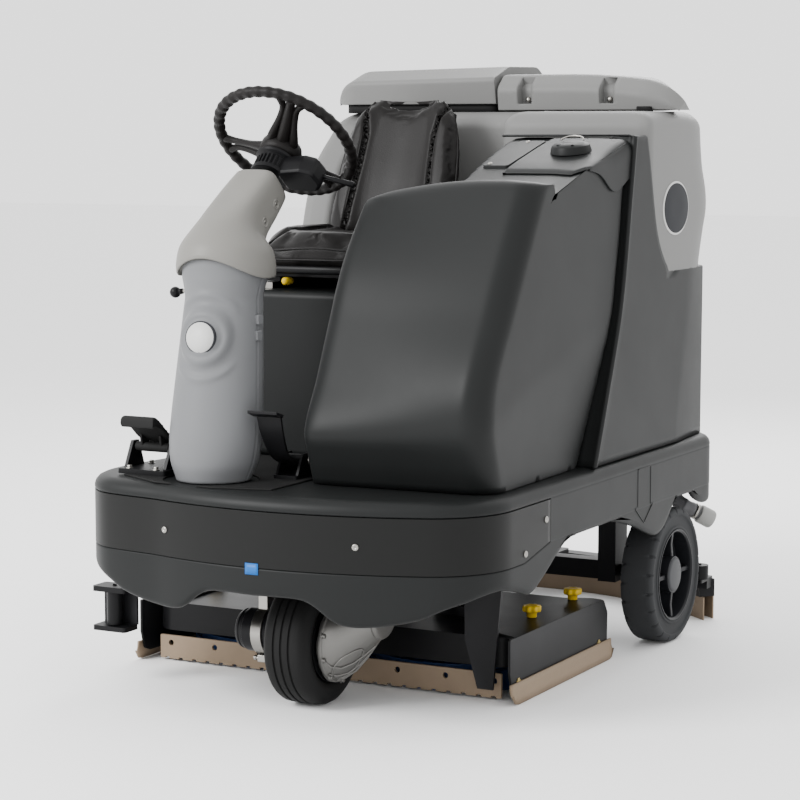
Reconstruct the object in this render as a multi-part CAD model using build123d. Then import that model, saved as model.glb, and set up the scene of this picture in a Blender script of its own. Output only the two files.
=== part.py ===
"""Ride-on floor scrubber machine, built as separate pieces, one STEP file per piece.

Millimetres. X = 0 is the machine's centre plane while it is modelled, -Y is the front, +Z is up,
z = 0 is the floor. Every piece is moved by CENTRE_SHIFT on export, so that the part's origin
lies under the middle of its outline, which the wide squeegee and scrub deck pull to the right.
"""
import os
from math import cos, radians, sin

from build123d import *

CENTRE_SHIFT = 77.5

# Lower body and chassis
HALF_WIDTH = 520.0
FRONT_Y = -935.0
REAR_Y = 650.0
LEDGE_Z = 530.0
BODY_WALL = 12.0
BAND_LOW, BAND_HIGH = 366.0, 497.0
RAIL_X = 325.0
RAIL_LOW, RAIL_HIGH = 400.0, 460.0

# Wheels
DRIVE_Y = -655.0
DRIVE_RADIUS = 153.0
DRIVE_WIDTH = 117.0
REAR_WHEEL_Y = 375.0
REAR_RADIUS = 178.0
REAR_INNER_X = 418.0
REAR_OUTER_X = 507.0
RIM_RADIUS = 121.0
AXLE_RADIUS = 15.0
RUNNING = 0.05

# Scrub deck and squeegee, both offset to the machine's right
DECK_X = -92.0
BRUSH_PITCH = 504.0
BRUSH_RADIUS = 248.0
BRUSH_Y = -172.0
DECK_FRONT_Y, DECK_REAR_Y = -434.0, 86.0
DECK_TOP = 150.0
SKIRT_HALF = 519.0
KNOB_X = 452.0
SQUEEGEE_HALF = 583.0
SQUEEGEE_TIP_Y, SQUEEGEE_REAR_Y = 680.0, 905.0

# Steering column, seen from the side as centres that lean back
COLUMN_X = -205.0
SHAFT_HOLE_Y = -772.0
NECK = (-700.0, 1030.0)
COLUMN_SECTIONS = ((530, 84), (575, 104), (625, 108), (750, 102), (870, 99), (960, 92), (990, 76))
COLUMN_FOOT = (-762.0, 530.0)
COLUMN_LEAN = (NECK[0] - COLUMN_FOOT[0]) / (NECK[1] - COLUMN_FOOT[1])
BALL_RADIUS = 86.0
WHEEL_CENTRE = (-427.0, 1312.0)
WHEEL_RADIUS = 172.0
RING_RADIUS = 14.0

# Seat
SEAT_X = -190.0
SEAT_HALF = 203.0
SEAT_PAN_Z = 975.0


def block(x, y, z, radius=0.0):
    """A box between low and high limits, its vertical edges rounded when a radius is given."""
    solid = Pos(sum(x) / 2, sum(y) / 2, sum(z) / 2) * Box(x[1] - x[0], y[1] - y[0], z[1] - z[0])
    if radius:
        solid = fillet(solid.edges().filter_by(Axis.Z), radius)
    return solid


def rod(start, end, radius):
    """A round bar from one point to another."""
    along = Vector(*end) - Vector(*start)
    plane = Plane(origin=start, z_dir=along)
    return plane * Cylinder(radius, along.length, align=(Align.CENTER, Align.CENTER, Align.MIN))


def tube(start, end, outer, inner):
    return rod(start, end, outer) - rod(start, end, inner)


def side_prism(points, x, inset=0.0):
    """A (Y, Z) outline carried across X, drawn in by the inset when one is given."""
    face = make_face(Polyline(*points, close=True))
    if inset:
        face = offset(face, -inset)
    return extrude(Plane.YZ.offset(x[0]) * face, x[1] - x[0])


def front_prism(points, y):
    """An (X, Z) outline carried along Y."""
    face = make_face(Polyline(*points, close=True))
    return extrude(Plane.XZ.offset(-y[1]) * face, y[1] - y[0])


def plan_prism(points, z):
    """An (X, Y) outline carried up Z."""
    return extrude(Plane.XY.offset(z[0]) * make_face(Polyline(*points, close=True)), z[1] - z[0])


def mirrored(solid, about=0.0):
    """The solid's copy on the other side of the plane X = about."""
    return mirror(solid, Plane.YZ.offset(about))


def both(solid, about=0.0):
    return [solid, mirrored(solid, about)]


# ---------------------------------------------------------------- lower body


def plan_outline(inset=0.0):
    """The lower body's outline from above: a bowed front, rounded corners, straight sides."""
    bow_x, bow_y = 400.0, FRONT_Y + 85.0
    corner_y, rear_radius = -665.0, 90.0
    bow = ThreePointArc((-bow_x, bow_y), (0, FRONT_Y), (bow_x, bow_y))
    left_corner = TangentArc((bow_x, bow_y), (HALF_WIDTH, corner_y), tangent=bow % 1)
    right_corner = mirror(left_corner, Plane.YZ)
    rear_side, rear_in = REAR_Y - rear_radius, HALF_WIDTH - rear_radius
    sides = [Line((s * HALF_WIDTH, corner_y), (s * HALF_WIDTH, rear_side)) for s in (-1, 1)]
    middle = rear_radius * (1 - cos(radians(45)))
    corners = [
        ThreePointArc(
            (s * HALF_WIDTH, rear_side),
            (s * (HALF_WIDTH - middle), REAR_Y - middle),
            (s * rear_in, REAR_Y),
        )
        for s in (-1, 1)
    ]
    back = Line((-rear_in, REAR_Y), (rear_in, REAR_Y))
    face = make_face(Curve() + [bow, left_corner, right_corner, back] + sides + corners)
    return offset(face, -inset) if inset else face


def hem_cuts():
    """What the wavy lower edge leaves out, over the drive wheel, the deck and the rear wheels."""
    half_front = ((115, 302), (150, 292), (205, 252), (270, 247), (380, 266), (440, 298), (560, 318))
    right_front = [(-x, z) for x, z in reversed(half_front)]
    hem = Spline(*right_front, *half_front)
    below = Polyline((560, 318), (560, 200), (-560, 200), (-560, 318))
    front = extrude(Plane.XZ.offset(700) * make_face(Curve() + [hem, below]), 300)
    side_points = (
        (-700, 322), (-623, 304), (-558, 288), (-491, 314), (-377, 373), (-282, 397), (-134, 395),
        (35, 360), (200, 309), (256, 322), (339, 385), (411, 413), (488, 364), (565, 345), (700, 356),
    )
    wave = Spline(*side_points)
    under = Polyline((700, 356), (700, 200), (-700, 200), (-700, 322))
    side = extrude(Plane.YZ.offset(-600) * make_face(Curve() + [wave, under]), 1200)
    return front + side


def band_region(clear=0.0):
    """The part of the front and sides that the steel band covers, cut off aslant at its ends."""
    points = (
        (-1000, BAND_LOW + clear), (-600, BAND_LOW + clear), (-458 - clear, 395 + clear),
        (-458 - clear, BAND_HIGH - clear), (-1000, BAND_HIGH - clear),
    )
    return side_prism(points, (-600, 600))


def make_lower_body():
    outer = extrude(Plane.XY.offset(240) * plan_outline(), LEDGE_Z - 240)
    outer = fillet(outer.edges().group_by(Axis.Z)[-1], 25)
    inner = extrude(Plane.XY.offset(230) * plan_outline(BODY_WALL), LEDGE_Z - BODY_WALL - 230)
    recess = extrude(Plane.XY.offset(BAND_LOW - 5) * (plan_outline(-5) - plan_outline(5)), 160)
    shaft_hole = rod((COLUMN_X, SHAFT_HOLE_Y, 500), (COLUMN_X, SHAFT_HOLE_Y, 540), 60)
    return outer - inner - (recess & band_region()) - hem_cuts() - shaft_hole


def make_bumper_band():
    ring = plan_outline(0.5) - plan_outline(4.6)
    return extrude(Plane.XY.offset(BAND_LOW - 5) * ring, 160) & band_region(1.5)


def make_cover_screws():
    """Button-head screws on the band, the vacuum cover and the steering head."""
    front = both(rod((250, -905, 429), (250, -917, 429), 7))
    heads = [screw & rod((0, 0, 429), (0, -1000, 429), 900) for screw in front]
    for y, z in ((-484, 451), (-596, 388)):
        heads += both(rod((519.6, y, z), (523, y, z), 7))
    return heads


def make_front_plate():
    """The plate that carries the turntable, the column and the front brackets."""
    plate = block((-350, 350), (-848, -420), (448, RAIL_HIGH))
    plate -= rod((0, DRIVE_Y, 440), (0, DRIVE_Y, 470), 60 + RUNNING)
    return plate - rod((COLUMN_X, SHAFT_HOLE_Y, 440), (COLUMN_X, SHAFT_HOLE_Y, 470), 40)


def make_guard_bracket():
    """The bracket at the right front, with a fork for the upright guard roller."""
    bracket = block((-500, -350), (-720, -690), (448, RAIL_HIGH))
    bracket += block((-500, -470), (-720, -690), (240, RAIL_HIGH))
    bracket += block((-575, -480), (-735, -675), (228, 241), 8)
    bracket += block((-575, -480), (-735, -675), (132, 144), 8)
    bracket += block((-575, -480), (-682, -675), (143, 229))
    return bracket - rod((-528, -705, 120), (-528, -705, 250), 5 + RUNNING)


def make_frame_side(side):
    """One side of the frame: rail, posts, wheel pedestal with its axle stub, and tie-down lug."""
    inner, outer = side * (RAIL_X - 25), side * (RAIL_X + 25)
    rail = sorted((inner, outer))
    solids = [block(rail, (-420, REAR_Y - 20), (RAIL_LOW, RAIL_HIGH))]
    for y in (-836, -400, 0, 560):
        solids.append(block(rail, (y, y + 40), (RAIL_HIGH, LEDGE_Z - BODY_WALL)))
    pedestal = block(rail, (REAR_WHEEL_Y - 40, REAR_WHEEL_Y + 40), (150, RAIL_LOW))
    axle_end = side * (REAR_INNER_X + 62)
    axle = rod((inner, REAR_WHEEL_Y, REAR_RADIUS), (axle_end, REAR_WHEEL_Y, REAR_RADIUS), AXLE_RADIUS)
    solids.append(pedestal + axle)
    lug = block(sorted((side * RAIL_X, side * (RAIL_X + 8))), (575, 625), (300, RAIL_LOW))
    return solids + [lug - rod((inner, 600, 325), (outer, 600, 325), 12.5)]


def make_squeegee_fork(side):
    """One cheek of the fork that holds the squeegee arm's pin."""
    x = sorted((side * 20, side * 32))
    cheek = block(x, (490, 530), (270, RAIL_HIGH)) + block(x, (490, 590), (RAIL_LOW, RAIL_HIGH))
    return cheek - rod((-40, 510, 300), (40, 510, 300), 8 + RUNNING)


def make_chassis_frame():
    """The frame's plates and tubes, which meet face to face."""
    span = (25 - RAIL_X, RAIL_X - 25)
    solids = [make_front_plate(), make_guard_bracket()]
    solids.append(block(span, (190, 240), (RAIL_LOW, RAIL_HIGH)))
    solids.append(block(span, (590, 630), (RAIL_LOW, RAIL_HIGH)))
    solids.append(block(span, (REAR_WHEEL_Y - 25, REAR_WHEEL_Y + 25), (153, 203)))
    blade = ((308, 448), (408, 448), (408, 290), (385, 35), (345, 35), (312, 150))
    solids.append(front_prism(blade, (-484, -476)))
    for side in (-1, 1):
        solids += make_frame_side(side) + [make_squeegee_fork(side)]
    return solids


def make_floor_mat():
    mat = plan_prism(
        ((-470, -370), (5, -370), (5, -850), (-130, -885), (-300, -870), (-430, -800)),
        (LEDGE_Z, LEDGE_Z + 4),
    )
    return mat - rod((COLUMN_X, SHAFT_HOLE_Y, 500), (COLUMN_X, SHAFT_HOLE_Y, 560), 112)


# ---------------------------------------------------------------- tanks and covers

TANK_WALL = 8.0
POD_X = (30.0, 490.0)
POD_OUTLINE = (
    (-722, 530), (-757, 600), (-768, 700), (-757, 820), (-715, 950), (-640, 1060), (-530, 1165),
    (-440, 1192), (-180, 1286), (40, 1322), (130, 1322), (130, 530),
)


def pod_solid(inset, radius):
    """The pod's shape, drawn in on all sides by the inset, with a rounded left front edge."""
    solid = side_prism(POD_OUTLINE, (POD_X[0] + inset, POD_X[1] - inset), inset)
    left_front = [edge for edge in solid.edges().group_by(Axis.X)[-1] if edge.center().Y < -450]
    return fillet(left_front, radius)


def make_solution_tank():
    """The moulded pod beside the driver: a closed tank with a filling mouth in its sloping top."""
    mouth = rod((300, -150, 1200), (300, -150, 1320), 62)
    return pod_solid(0, 50) - pod_solid(TANK_WALL, 50 - TANK_WALL) - mouth


LID_LINE = ((-300.0, 1242.6), (-180.0, 1286.0), (-30.0, 1310.6))


def lid_prism(x, rise, thickness):
    """A slab that lies on the pod's sloping top, between the hatch's front and rear edges."""
    under = [(y, z + rise) for y, z in LID_LINE]
    over = [(y, z + rise + thickness) for y, z in reversed(LID_LINE)]
    return side_prism(under + over, x)


def make_fill_lid():
    """The hatch over the filling mouth, with its round cap."""
    lid = lid_prism((175, 488), 2, 16)
    return lid + rod((330, -165, 1298), (330, -172, 1326), 50)


def make_fill_hinge():
    return lid_prism((100, 172), 1, 6) & block((100, 172), (-260, -75), (1200, 1400))


BOX_X = (-500.0, 25.0)


def make_battery_box():
    """The dark box under the seat, open below where the batteries stand on the body."""
    outer = block(BOX_X, (-352, 128), (LEDGE_Z, 945))
    outer = fillet(outer.edges().filter_by(Axis.X), 18)
    return outer - block((BOX_X[0] + 8, BOX_X[1] - 8), (-344, 120), (LEDGE_Z - 1, 937))


def make_batteries():
    cells = []
    for column in range(2):
        for row in range(2):
            x, y = -480 + column * 245, -330 + row * 225
            cells.append(block((x, x + 238), (y, y + 218), (LEDGE_Z, LEDGE_Z + 300), 10))
    return cells


def make_rear_body():
    """The dark rear moulding that carries the recovery tank."""
    points = (
        (150, 530), (150, 1004), (245, 1040), (300, 980), (600, 968), (632, 900), (652, 530),
    )
    outer = side_prism(points, (-HALF_WIDTH + 16, HALF_WIDTH - 16))
    cavity = side_prism(points, (-HALF_WIDTH + 24, HALF_WIDTH - 24), TANK_WALL)
    return outer - cavity - block((-490, 490), (165, 635), (LEDGE_Z - 5, LEDGE_Z + 20))


TANK_REAR = ((690, 1388), (722, 1300), (730, 1150), (700, 1000), (636, 972), (300, 984))


def tank_solid(inset):
    """The recovery tank's shape: the part beside the pod, the part behind the seat, and the wing."""
    wing = ((142, 1060), (215, 1245), (330, 1360), (345, 1388)) + TANK_REAR + ((245, 1044), (136, 1004))
    behind = ((272, 1060), (272, 1340), (345, 1388)) + TANK_REAR + ((245, 1044),)
    beside = ((142, 1060), (142, 1324), (175, 1388)) + TANK_REAR + ((245, 1044), (136, 1004))
    solid = side_prism(beside, (29, 504 - inset), inset) + side_prism(behind, (-413, 30), inset)
    return solid + side_prism(wing, (-504 + inset, -412 - inset), inset)


def make_recovery_tank():
    """The light tank over the rear body; its right front rises as a wing beside the seat back."""
    deck = block((0, 500), (145, 720), (1242, 1250))
    tank = tank_solid(0) - (tank_solid(TANK_WALL) - deck)
    return tank - block((-460, -60), (380, 640), (1370, 1400)) - block((10, 480), (340, 660), (1370, 1400))


def cover_prism(x, low, crest, front=338, rear=700):
    points = (
        (front, low), (front - 8, crest - 40), (front + 60, crest),
        (rear - 70, crest), (rear, low + 20), (rear, low),
    )
    return side_prism(points, x)


def make_recovery_lid():
    """The hinged lid over the recovery tank, with two hinge barrels at its rear edge."""
    lid = cover_prism((-500, -4), 1395, 1512)
    lid = fillet(lid.edges().filter_by(Axis.X).group_by(Axis.Z)[-1], 30)
    return lid - cover_prism((-490, -14), 1380, 1500, 350, 688)


def make_vacuum_cover():
    """The screwed cover over the vacuum motor, with two rounded slots in its front."""
    cover = cover_prism((4, 500), 1389, 1466)
    cover -= cover_prism((14, 490), 1370, 1454, 352, 686)
    for x in (120, 370):
        cover -= block((x, x + 44), (300, 343), (1399, 1436))
    return cover


def make_vacuum_motor():
    """The vacuum motor, on the dry shelf inside the tank's left half."""
    housing = rod((240, 500, 1250), (240, 500, 1330), 90)
    return housing + rod((240, 500, 1330), (240, 500, 1380), 62)


def make_drain_hose():
    """The ribbed drain hose, clipped below the rear body with its cap pointing to the left rear."""
    path = FilletPolyline((405, 588, 470), (405, 588, 345), (470, 640, 300), radius=55)
    start = Plane(origin=path @ 0, z_dir=path % 0)
    hose = sweep(start * Circle(20), path=path)
    cap_end = path @ 1 + (path % 1) * 42
    return hose + rod(tuple(path @ 1), tuple(cap_end), 25)


def make_badges():
    """Plain discs: one on the column, one on each side of the recovery tank."""
    front = column_y(852) - 113
    column = rod((COLUMN_X, front, 852), (COLUMN_X, front - 6, 852), 39)
    sides = both(rod((504.5, 345, 1141), (508, 345, 1141), 66))
    return [column] + sides


# ---------------------------------------------------------------- steering column


def column_y(z):
    return NECK[0] - (NECK[1] - z) * COLUMN_LEAN


def column_solid(shrink=0.0):
    rings = [
        Plane.XY.offset(z) * Pos(COLUMN_X, column_y(z)) * Circle(radius - shrink)
        for z, radius in COLUMN_SECTIONS
    ]
    ball = Pos(COLUMN_X, *NECK) * Sphere(BALL_RADIUS - shrink)
    return loft(rings) + (ball & block((-400, 0), (-850, -500), (988, 1085)))


def make_column_covers():
    """The two halves of the column cover, parted along the leaning centre plane."""
    shell = column_solid() - column_solid(4)
    shell -= rod((COLUMN_X, *NECK), (COLUMN_X, NECK[0] + 30, NECK[1] + 80), 60)
    front_region = side_prism(
        ((-1000, 500), (column_y(500), 500), (column_y(1110), 1110), (-1000, 1110)), (-400, 0)
    )
    return shell & front_region, shell - front_region


def wheel_axis():
    """The steering wheel's axis, from the neck's pivot up through the wheel's centre."""
    tilt = radians(44)
    return Vector(0, sin(tilt), cos(tilt))


def on_wheel_axis(distance):
    """A point on the wheel's axis, measured down from the wheel's centre."""
    return tuple(Vector(COLUMN_X, *WHEEL_CENTRE) - wheel_axis() * distance)


def make_head_cover():
    """The tilting head: a dome over the ball that narrows towards the steering wheel."""
    pivot = Pos(COLUMN_X, *NECK)
    dome = pivot * Sphere(111) & block((-400, 0), (-850, -480), (NECK[1] - 16, 1200))
    low, high = Vector(COLUMN_X, NECK[0] + 12, NECK[1] + 22), Vector(*on_wheel_axis(150))
    way = Plane(origin=low, z_dir=high - low)
    length = (high - low).length
    sit = (Align.CENTER, Align.CENTER, Align.MIN)
    hollow = pivot * Sphere(BALL_RADIUS + 2) + way * Cone(78, 52, length + 1, align=sit)
    return dome + way * Cone(84, 58, length, align=sit) - hollow


def make_column_collar():
    """The black collar round the steering shaft."""
    collar = rod(on_wheel_axis(149), on_wheel_axis(70), 42) + rod(on_wheel_axis(140), on_wheel_axis(100), 47)
    return collar - rod(on_wheel_axis(160), on_wheel_axis(60), 12 + RUNNING)


def make_control_pod():
    """The switch pod on the column's left, beside the steering wheel."""
    pod = block((-146, -90), (-560, -500), (1222, 1262), 12)
    return pod - rod(on_wheel_axis(170), on_wheel_axis(60), 64)


def make_tilt_lever():
    """The lever that frees the column's tilt, with its ball."""
    grip = (-344, -704, 960)
    foot = (COLUMN_X - 95, -708, 968)
    ball = Plane(origin=grip, z_dir=Vector(*foot) - Vector(*grip)) * Sphere(13)
    return ball + rod(grip, foot, 5)


def make_steering_wheel():
    """The rim and its three spokes, in the plane square to the wheel's axis."""
    plane = Plane(origin=(COLUMN_X, *WHEEL_CENTRE), x_dir=(1, 0, 0), z_dir=wheel_axis())
    wheel = plane * Torus(WHEEL_RADIUS, RING_RADIUS)
    for angle in (59, 179, 299):
        a = radians(angle)
        inner = plane.from_local_coords((44 * cos(a), 44 * sin(a), -31))
        outer = plane.from_local_coords((WHEEL_RADIUS * cos(a), WHEEL_RADIUS * sin(a), 0))
        wheel += rod(tuple(inner), tuple(outer), 11)
    wheel += rod(on_wheel_axis(40), on_wheel_axis(16), 48)
    return wheel - rod(on_wheel_axis(60), on_wheel_axis(10), 14)


def make_steering_hub():
    """The hub cap on the wheel and the short shaft under it."""
    return rod(on_wheel_axis(15.5), on_wheel_axis(4), 40) + rod(on_wheel_axis(200), on_wheel_axis(15), 12)


def make_steering_shaft():
    """The long shaft inside the column, down to the drive unit's steering gear."""
    axis = Vector(0, COLUMN_LEAN, 1).normalized()
    top = Vector(COLUMN_X, *NECK) - axis * 40
    bottom = Vector(COLUMN_X, *NECK) - axis * 615
    return rod(tuple(bottom), tuple(top), 12) + rod(tuple(top - axis * 30), tuple(top), 20)


# ---------------------------------------------------------------- pedals

PEDAL_PIN = (-735.0, 592.0)
BRAKE_PIN = (-640.0, 575.0)


def make_pedal_plates():
    """The drive pedal's base plate and cheeks, and the brake pedal's bracket."""
    base = block((-450, -318), (-800, -680), (LEDGE_Z + 4, LEDGE_Z + 16), 6)
    for x in (-448, -338):
        cheek = side_prism(((-775, 545), (-745, 606), (-722, 606), (-700, 545)), (x, x + 8))
        base += cheek
    base += rod((-448, *PEDAL_PIN), (-330, *PEDAL_PIN), 5)
    bracket = block((-82, -18), (-700, -560), (LEDGE_Z + 4, LEDGE_Z + 12), 6)
    for x in (-80, -26):
        bracket += side_prism(((-690, 541), (-665, 590), (-625, 590), (-580, 541)), (x, x + 6))
    bracket += rod((-80, *BRAKE_PIN), (-20, *BRAKE_PIN), 5)
    return [base, bracket]


def make_drive_pedal():
    treadle = side_prism(
        ((-640, 578), (-640, 586), (-735, 612), (-790, 662), (-796, 654), (-741, 602)), (-434, -346)
    )
    treadle += rod((-436, *PEDAL_PIN), (-343, *PEDAL_PIN), 11)
    return treadle - rod((-460, *PEDAL_PIN), (-300, *PEDAL_PIN), 5 + RUNNING)


def make_brake_pedal():
    profile = ((-655, 566), (-720, 580), (-760, 640), (-766, 636), (-728, 566), (-650, 552))
    arm = side_prism(profile, (-66, -34))
    pad = side_prism(((-752, 628), (-792, 690), (-799, 686), (-759, 624)), (-90, -12))
    pedal = arm + pad + rod((-72, *BRAKE_PIN), (-28, *BRAKE_PIN), 12)
    pedal += block((-66, -34), (-668, -630), (560, 590))
    return pedal - rod((-100, *BRAKE_PIN), (0, *BRAKE_PIN), 5 + RUNNING)


# ---------------------------------------------------------------- seat


def make_seat_rails():
    return [block((x, x + 30), (-290, 60), (945, 961)) for x in (SEAT_X - 165, SEAT_X + 135)]


def make_seat_pan():
    """The carriage on the rails: a pan under the cushion with an upright behind the back."""
    pan = block((SEAT_X - 185, SEAT_X + 185), (-280, 128), (SEAT_PAN_Z, SEAT_PAN_Z + 10))
    for x in (SEAT_X - 170, SEAT_X + 130):
        pan += block((x, x + 40), (-260, 40), (962, SEAT_PAN_Z + 1))
    upright = side_prism(((114, 975), (128, 975), (232, 1380), (219, 1384)), (SEAT_X - 120, SEAT_X + 120))
    return pan + upright


def make_seat_cushion():
    points = ((-332, 1000), (-350, 1040), (-330, 1078), (-120, 1092), (50, 1070), (50, 986), (-300, 986))
    return side_prism(points, (SEAT_X - SEAT_HALF, SEAT_X + SEAT_HALF))


def make_seat_back():
    points = (
        (52, 1010), (58, 1100), (92, 1200), (172, 1430),
        (206, 1437), (214, 1400), (112, 1000), (66, 996),
    )
    return side_prism(points, (SEAT_X - SEAT_HALF, SEAT_X + SEAT_HALF))


def make_seat_lever():
    """The seat's adjusting lever with its yellow grip, under the cushion's front edge."""
    return rod((-265, -296, 966), (-265, -240, 966), 4) + rod((-265, -335, 968), (-265, -295, 966), 9)


# ---------------------------------------------------------------- drive unit


def make_drive_yoke():
    """The turntable: a plate over the wheel and a boss that turns in the front plate."""
    plate = block((-190, 190), (DRIVE_Y - 60, DRIVE_Y + 60), (322, 334), 20)
    boss = rod((0, DRIVE_Y, 333), (0, DRIVE_Y, 470), 60)
    upper = rod((0, DRIVE_Y, 461), (0, DRIVE_Y, 472), 80)
    lower = rod((0, DRIVE_Y, 333), (0, DRIVE_Y, 447), 82)
    return plate + boss + upper + lower


def make_drive_gearbox():
    """The cast gearbox: it carries the wheel's axle and leans out and up to the turntable."""
    hub = Plane.YZ.offset(62) * Pos(DRIVE_Y, DRIVE_RADIUS) * Circle(94)
    shoulder = Plane.YZ.offset(190) * Pos(DRIVE_Y, 224) * Circle(50)
    neck = block((100, 186), (DRIVE_Y - 45, DRIVE_Y + 45), (230, 322))
    axle = rod((-56, DRIVE_Y, DRIVE_RADIUS), (63, DRIVE_Y, DRIVE_RADIUS), 20)
    return loft([hub, shoulder]) + neck + axle


def make_drive_motor():
    body = rod((-64, DRIVE_Y, 160), (-176, DRIVE_Y, 160), 52)
    return body + rod((-175, DRIVE_Y, 160), (-190, DRIVE_Y, 160), 44)


def make_motor_strap():
    strap = tube((-140, DRIVE_Y, 160), (-112, DRIVE_Y, 160), 57, 52)
    return strap + block((-140, -112), (DRIVE_Y - 20, DRIVE_Y + 20), (216, 322))


def wheel_pieces(x, y, radius, rim_radius, bore, groove):
    """A tyre and a rim about the axis along X; the tyre has grooves round its tread."""
    low, high = x
    tyre = tube((low, y, radius), (high, y, radius), radius, rim_radius)
    tyre = fillet(tyre.edges().filter_by(GeomType.CIRCLE).group_by(SortBy.RADIUS)[-1], 12)
    for part in groove:
        centre = low + (high - low) * part
        tyre -= tube((centre - 3, y, radius), (centre + 3, y, radius), radius + 5, radius - 6)
    rim = rod((low + 4, y, radius), (high - 4, y, radius), rim_radius)
    return tyre, rim - rod((low, y, radius), (high, y, radius), bore)


def make_drive_wheel():
    half = DRIVE_WIDTH / 2
    tyre, rim = wheel_pieces((-half, half), DRIVE_Y, DRIVE_RADIUS, 96, 20 + RUNNING, (0.36, 0.64))
    dish = tube((-half, DRIVE_Y, DRIVE_RADIUS), (-half + 34, DRIVE_Y, DRIVE_RADIUS), 84, 34)
    return tyre, rim - dish


def make_rear_wheel(side):
    """A rear wheel: tyre, and a dished rim with a hub cap."""
    low, high = sorted((side * REAR_INNER_X, side * REAR_OUTER_X))
    tyre, rim = wheel_pieces((low, high), REAR_WHEEL_Y, REAR_RADIUS, RIM_RADIUS, AXLE_RADIUS + RUNNING, ())
    outer, inner = side * REAR_OUTER_X, side * (REAR_OUTER_X - 40)
    axis = (REAR_WHEEL_Y, REAR_RADIUS)
    rim -= tube((outer, *axis), (inner, *axis), 108, 46)
    return tyre, rim + rod((side * 484, *axis), (side * 503, *axis), 46)


# ---------------------------------------------------------------- scrub deck


def brush_xs():
    return DECK_X - BRUSH_PITCH / 2, DECK_X + BRUSH_PITCH / 2


def make_deck_housing():
    """The deck: a pressed cover over the two brushes, open below."""
    x = (DECK_X - SKIRT_HALF + 12, DECK_X + SKIRT_HALF - 12)
    outer = block(x, (DECK_FRONT_Y, DECK_REAR_Y), (78, DECK_TOP), 60)
    deck = outer - block((x[0] + 6, x[1] - 6), (DECK_FRONT_Y + 6, DECK_REAR_Y - 6), (70, DECK_TOP - 6), 54)
    for brush_x in brush_xs():
        deck -= rod((brush_x, BRUSH_Y, 100), (brush_x, BRUSH_Y, 160), 20)
    for x, y in knob_places():
        deck -= rod((x, y, 140), (x, y, 160), 6 + RUNNING)
    return deck


def make_brush_motors():
    motors = []
    for x in brush_xs():
        motor = rod((x, BRUSH_Y, DECK_TOP), (x, BRUSH_Y, 300), 58)
        motor += rod((x, BRUSH_Y, 52), (x, BRUSH_Y, DECK_TOP + 1), 12)
        motors.append(motor + rod((x, BRUSH_Y, DECK_TOP), (x, BRUSH_Y, 172), 78))
    return motors


def make_brush(x):
    """A disc brush: a plate with a driving bore over a ring of bristles."""
    plate = rod((x, BRUSH_Y, 50), (x, BRUSH_Y, 66), BRUSH_RADIUS - 6)
    bristles = tube((x, BRUSH_Y, 0), (x, BRUSH_Y, 51), BRUSH_RADIUS, 110)
    return plate + bristles - rod((x, BRUSH_Y, 40), (x, BRUSH_Y, 80), 12 + RUNNING)


def knob_places():
    return [(DECK_X + s * KNOB_X, y) for s in (1, -1) for y in (-212, 34)]


def make_side_skirts():
    """The black skirts at the deck's ends, each with a flange that the knobs hold down."""
    left = block((DECK_X + SKIRT_HALF - 6, DECK_X + SKIRT_HALF), (-476, 100), (22, 157))
    left += block((DECK_X + SKIRT_HALF - 92, DECK_X + SKIRT_HALF - 5), (-400, 60), (DECK_TOP, 157))
    skirts = both(left, DECK_X)
    holes = [rod((x, y, 140), (x, y, 170), 6 + RUNNING) for x, y in knob_places()]
    return [skirt - holes for skirt in skirts]


def make_deck_blades():
    """The tan rubber blades: one along the front, one under each side skirt."""
    holes = [rod((x, -450, 52), (x, -430, 52), 7) for x in range(-540, 400, 130)]
    front = block((DECK_X - 480, DECK_X + 480), (-442, -435), (6, 84)) - holes
    side = block((DECK_X + SKIRT_HALF, DECK_X + SKIRT_HALF + 5), (-470, 110), (2, 50))
    return [front] + both(side, DECK_X)


def make_knob(x, y):
    """A lobed hand knob with its stud."""
    knob = rod((x, y, 166), (x, y, 186), 17)
    knob += rod((x, y, 141), (x, y, 190), 6)
    knob += rod((x, y, 158), (x, y, 168), 10)
    for step in range(5):
        turn = radians(72 * step)
        lobe_x, lobe_y = x + 15 * cos(turn), y + 15 * sin(turn)
        knob += rod((lobe_x, lobe_y, 168), (lobe_x, lobe_y, 184), 9)
    return knob


def make_guard_roller():
    roller = rod((-528, -705, 146), (-528, -705, 226), 20)
    return roller + rod((-528, -705, 128), (-528, -705, 245), 5)


# ---------------------------------------------------------------- squeegee

SQUEEGEE_PIVOT = (510.0, 300.0)
SWIVEL = (DECK_X, 800.0)


def squeegee_strip(width, z, back=0.0, trim=0.0):
    """A strip that follows the squeegee's bow from above."""
    half = SQUEEGEE_HALF - trim
    bow = ThreePointArc(
        (DECK_X - half, SQUEEGEE_TIP_Y + back), (DECK_X, SQUEEGEE_REAR_Y + back),
        (DECK_X + half, SQUEEGEE_TIP_Y + back),
    )
    return extrude(Plane.XY.offset(z[0]) * trace(bow, width), z[1] - z[0])


def make_squeegee_arm():
    """The lift arm: a hub with its pin in the chassis, and a bar back to the swivel."""
    y, z = SQUEEGEE_PIVOT
    arm = rod((-19, y, z), (19, y, z), 20) + rod((-40, y, z), (40, y, z), 8)
    bar = side_prism(((525, 285), (525, 312), (760, 202), (760, 175)), (-18, 18))
    pad = block((DECK_X - 30, 18), (750, 840), (176, 192), 10)
    arm += bar + pad
    arm -= rod((DECK_X, SWIVEL[1], 150), (DECK_X, SWIVEL[1], 210), 10 + RUNNING)
    return arm


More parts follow.
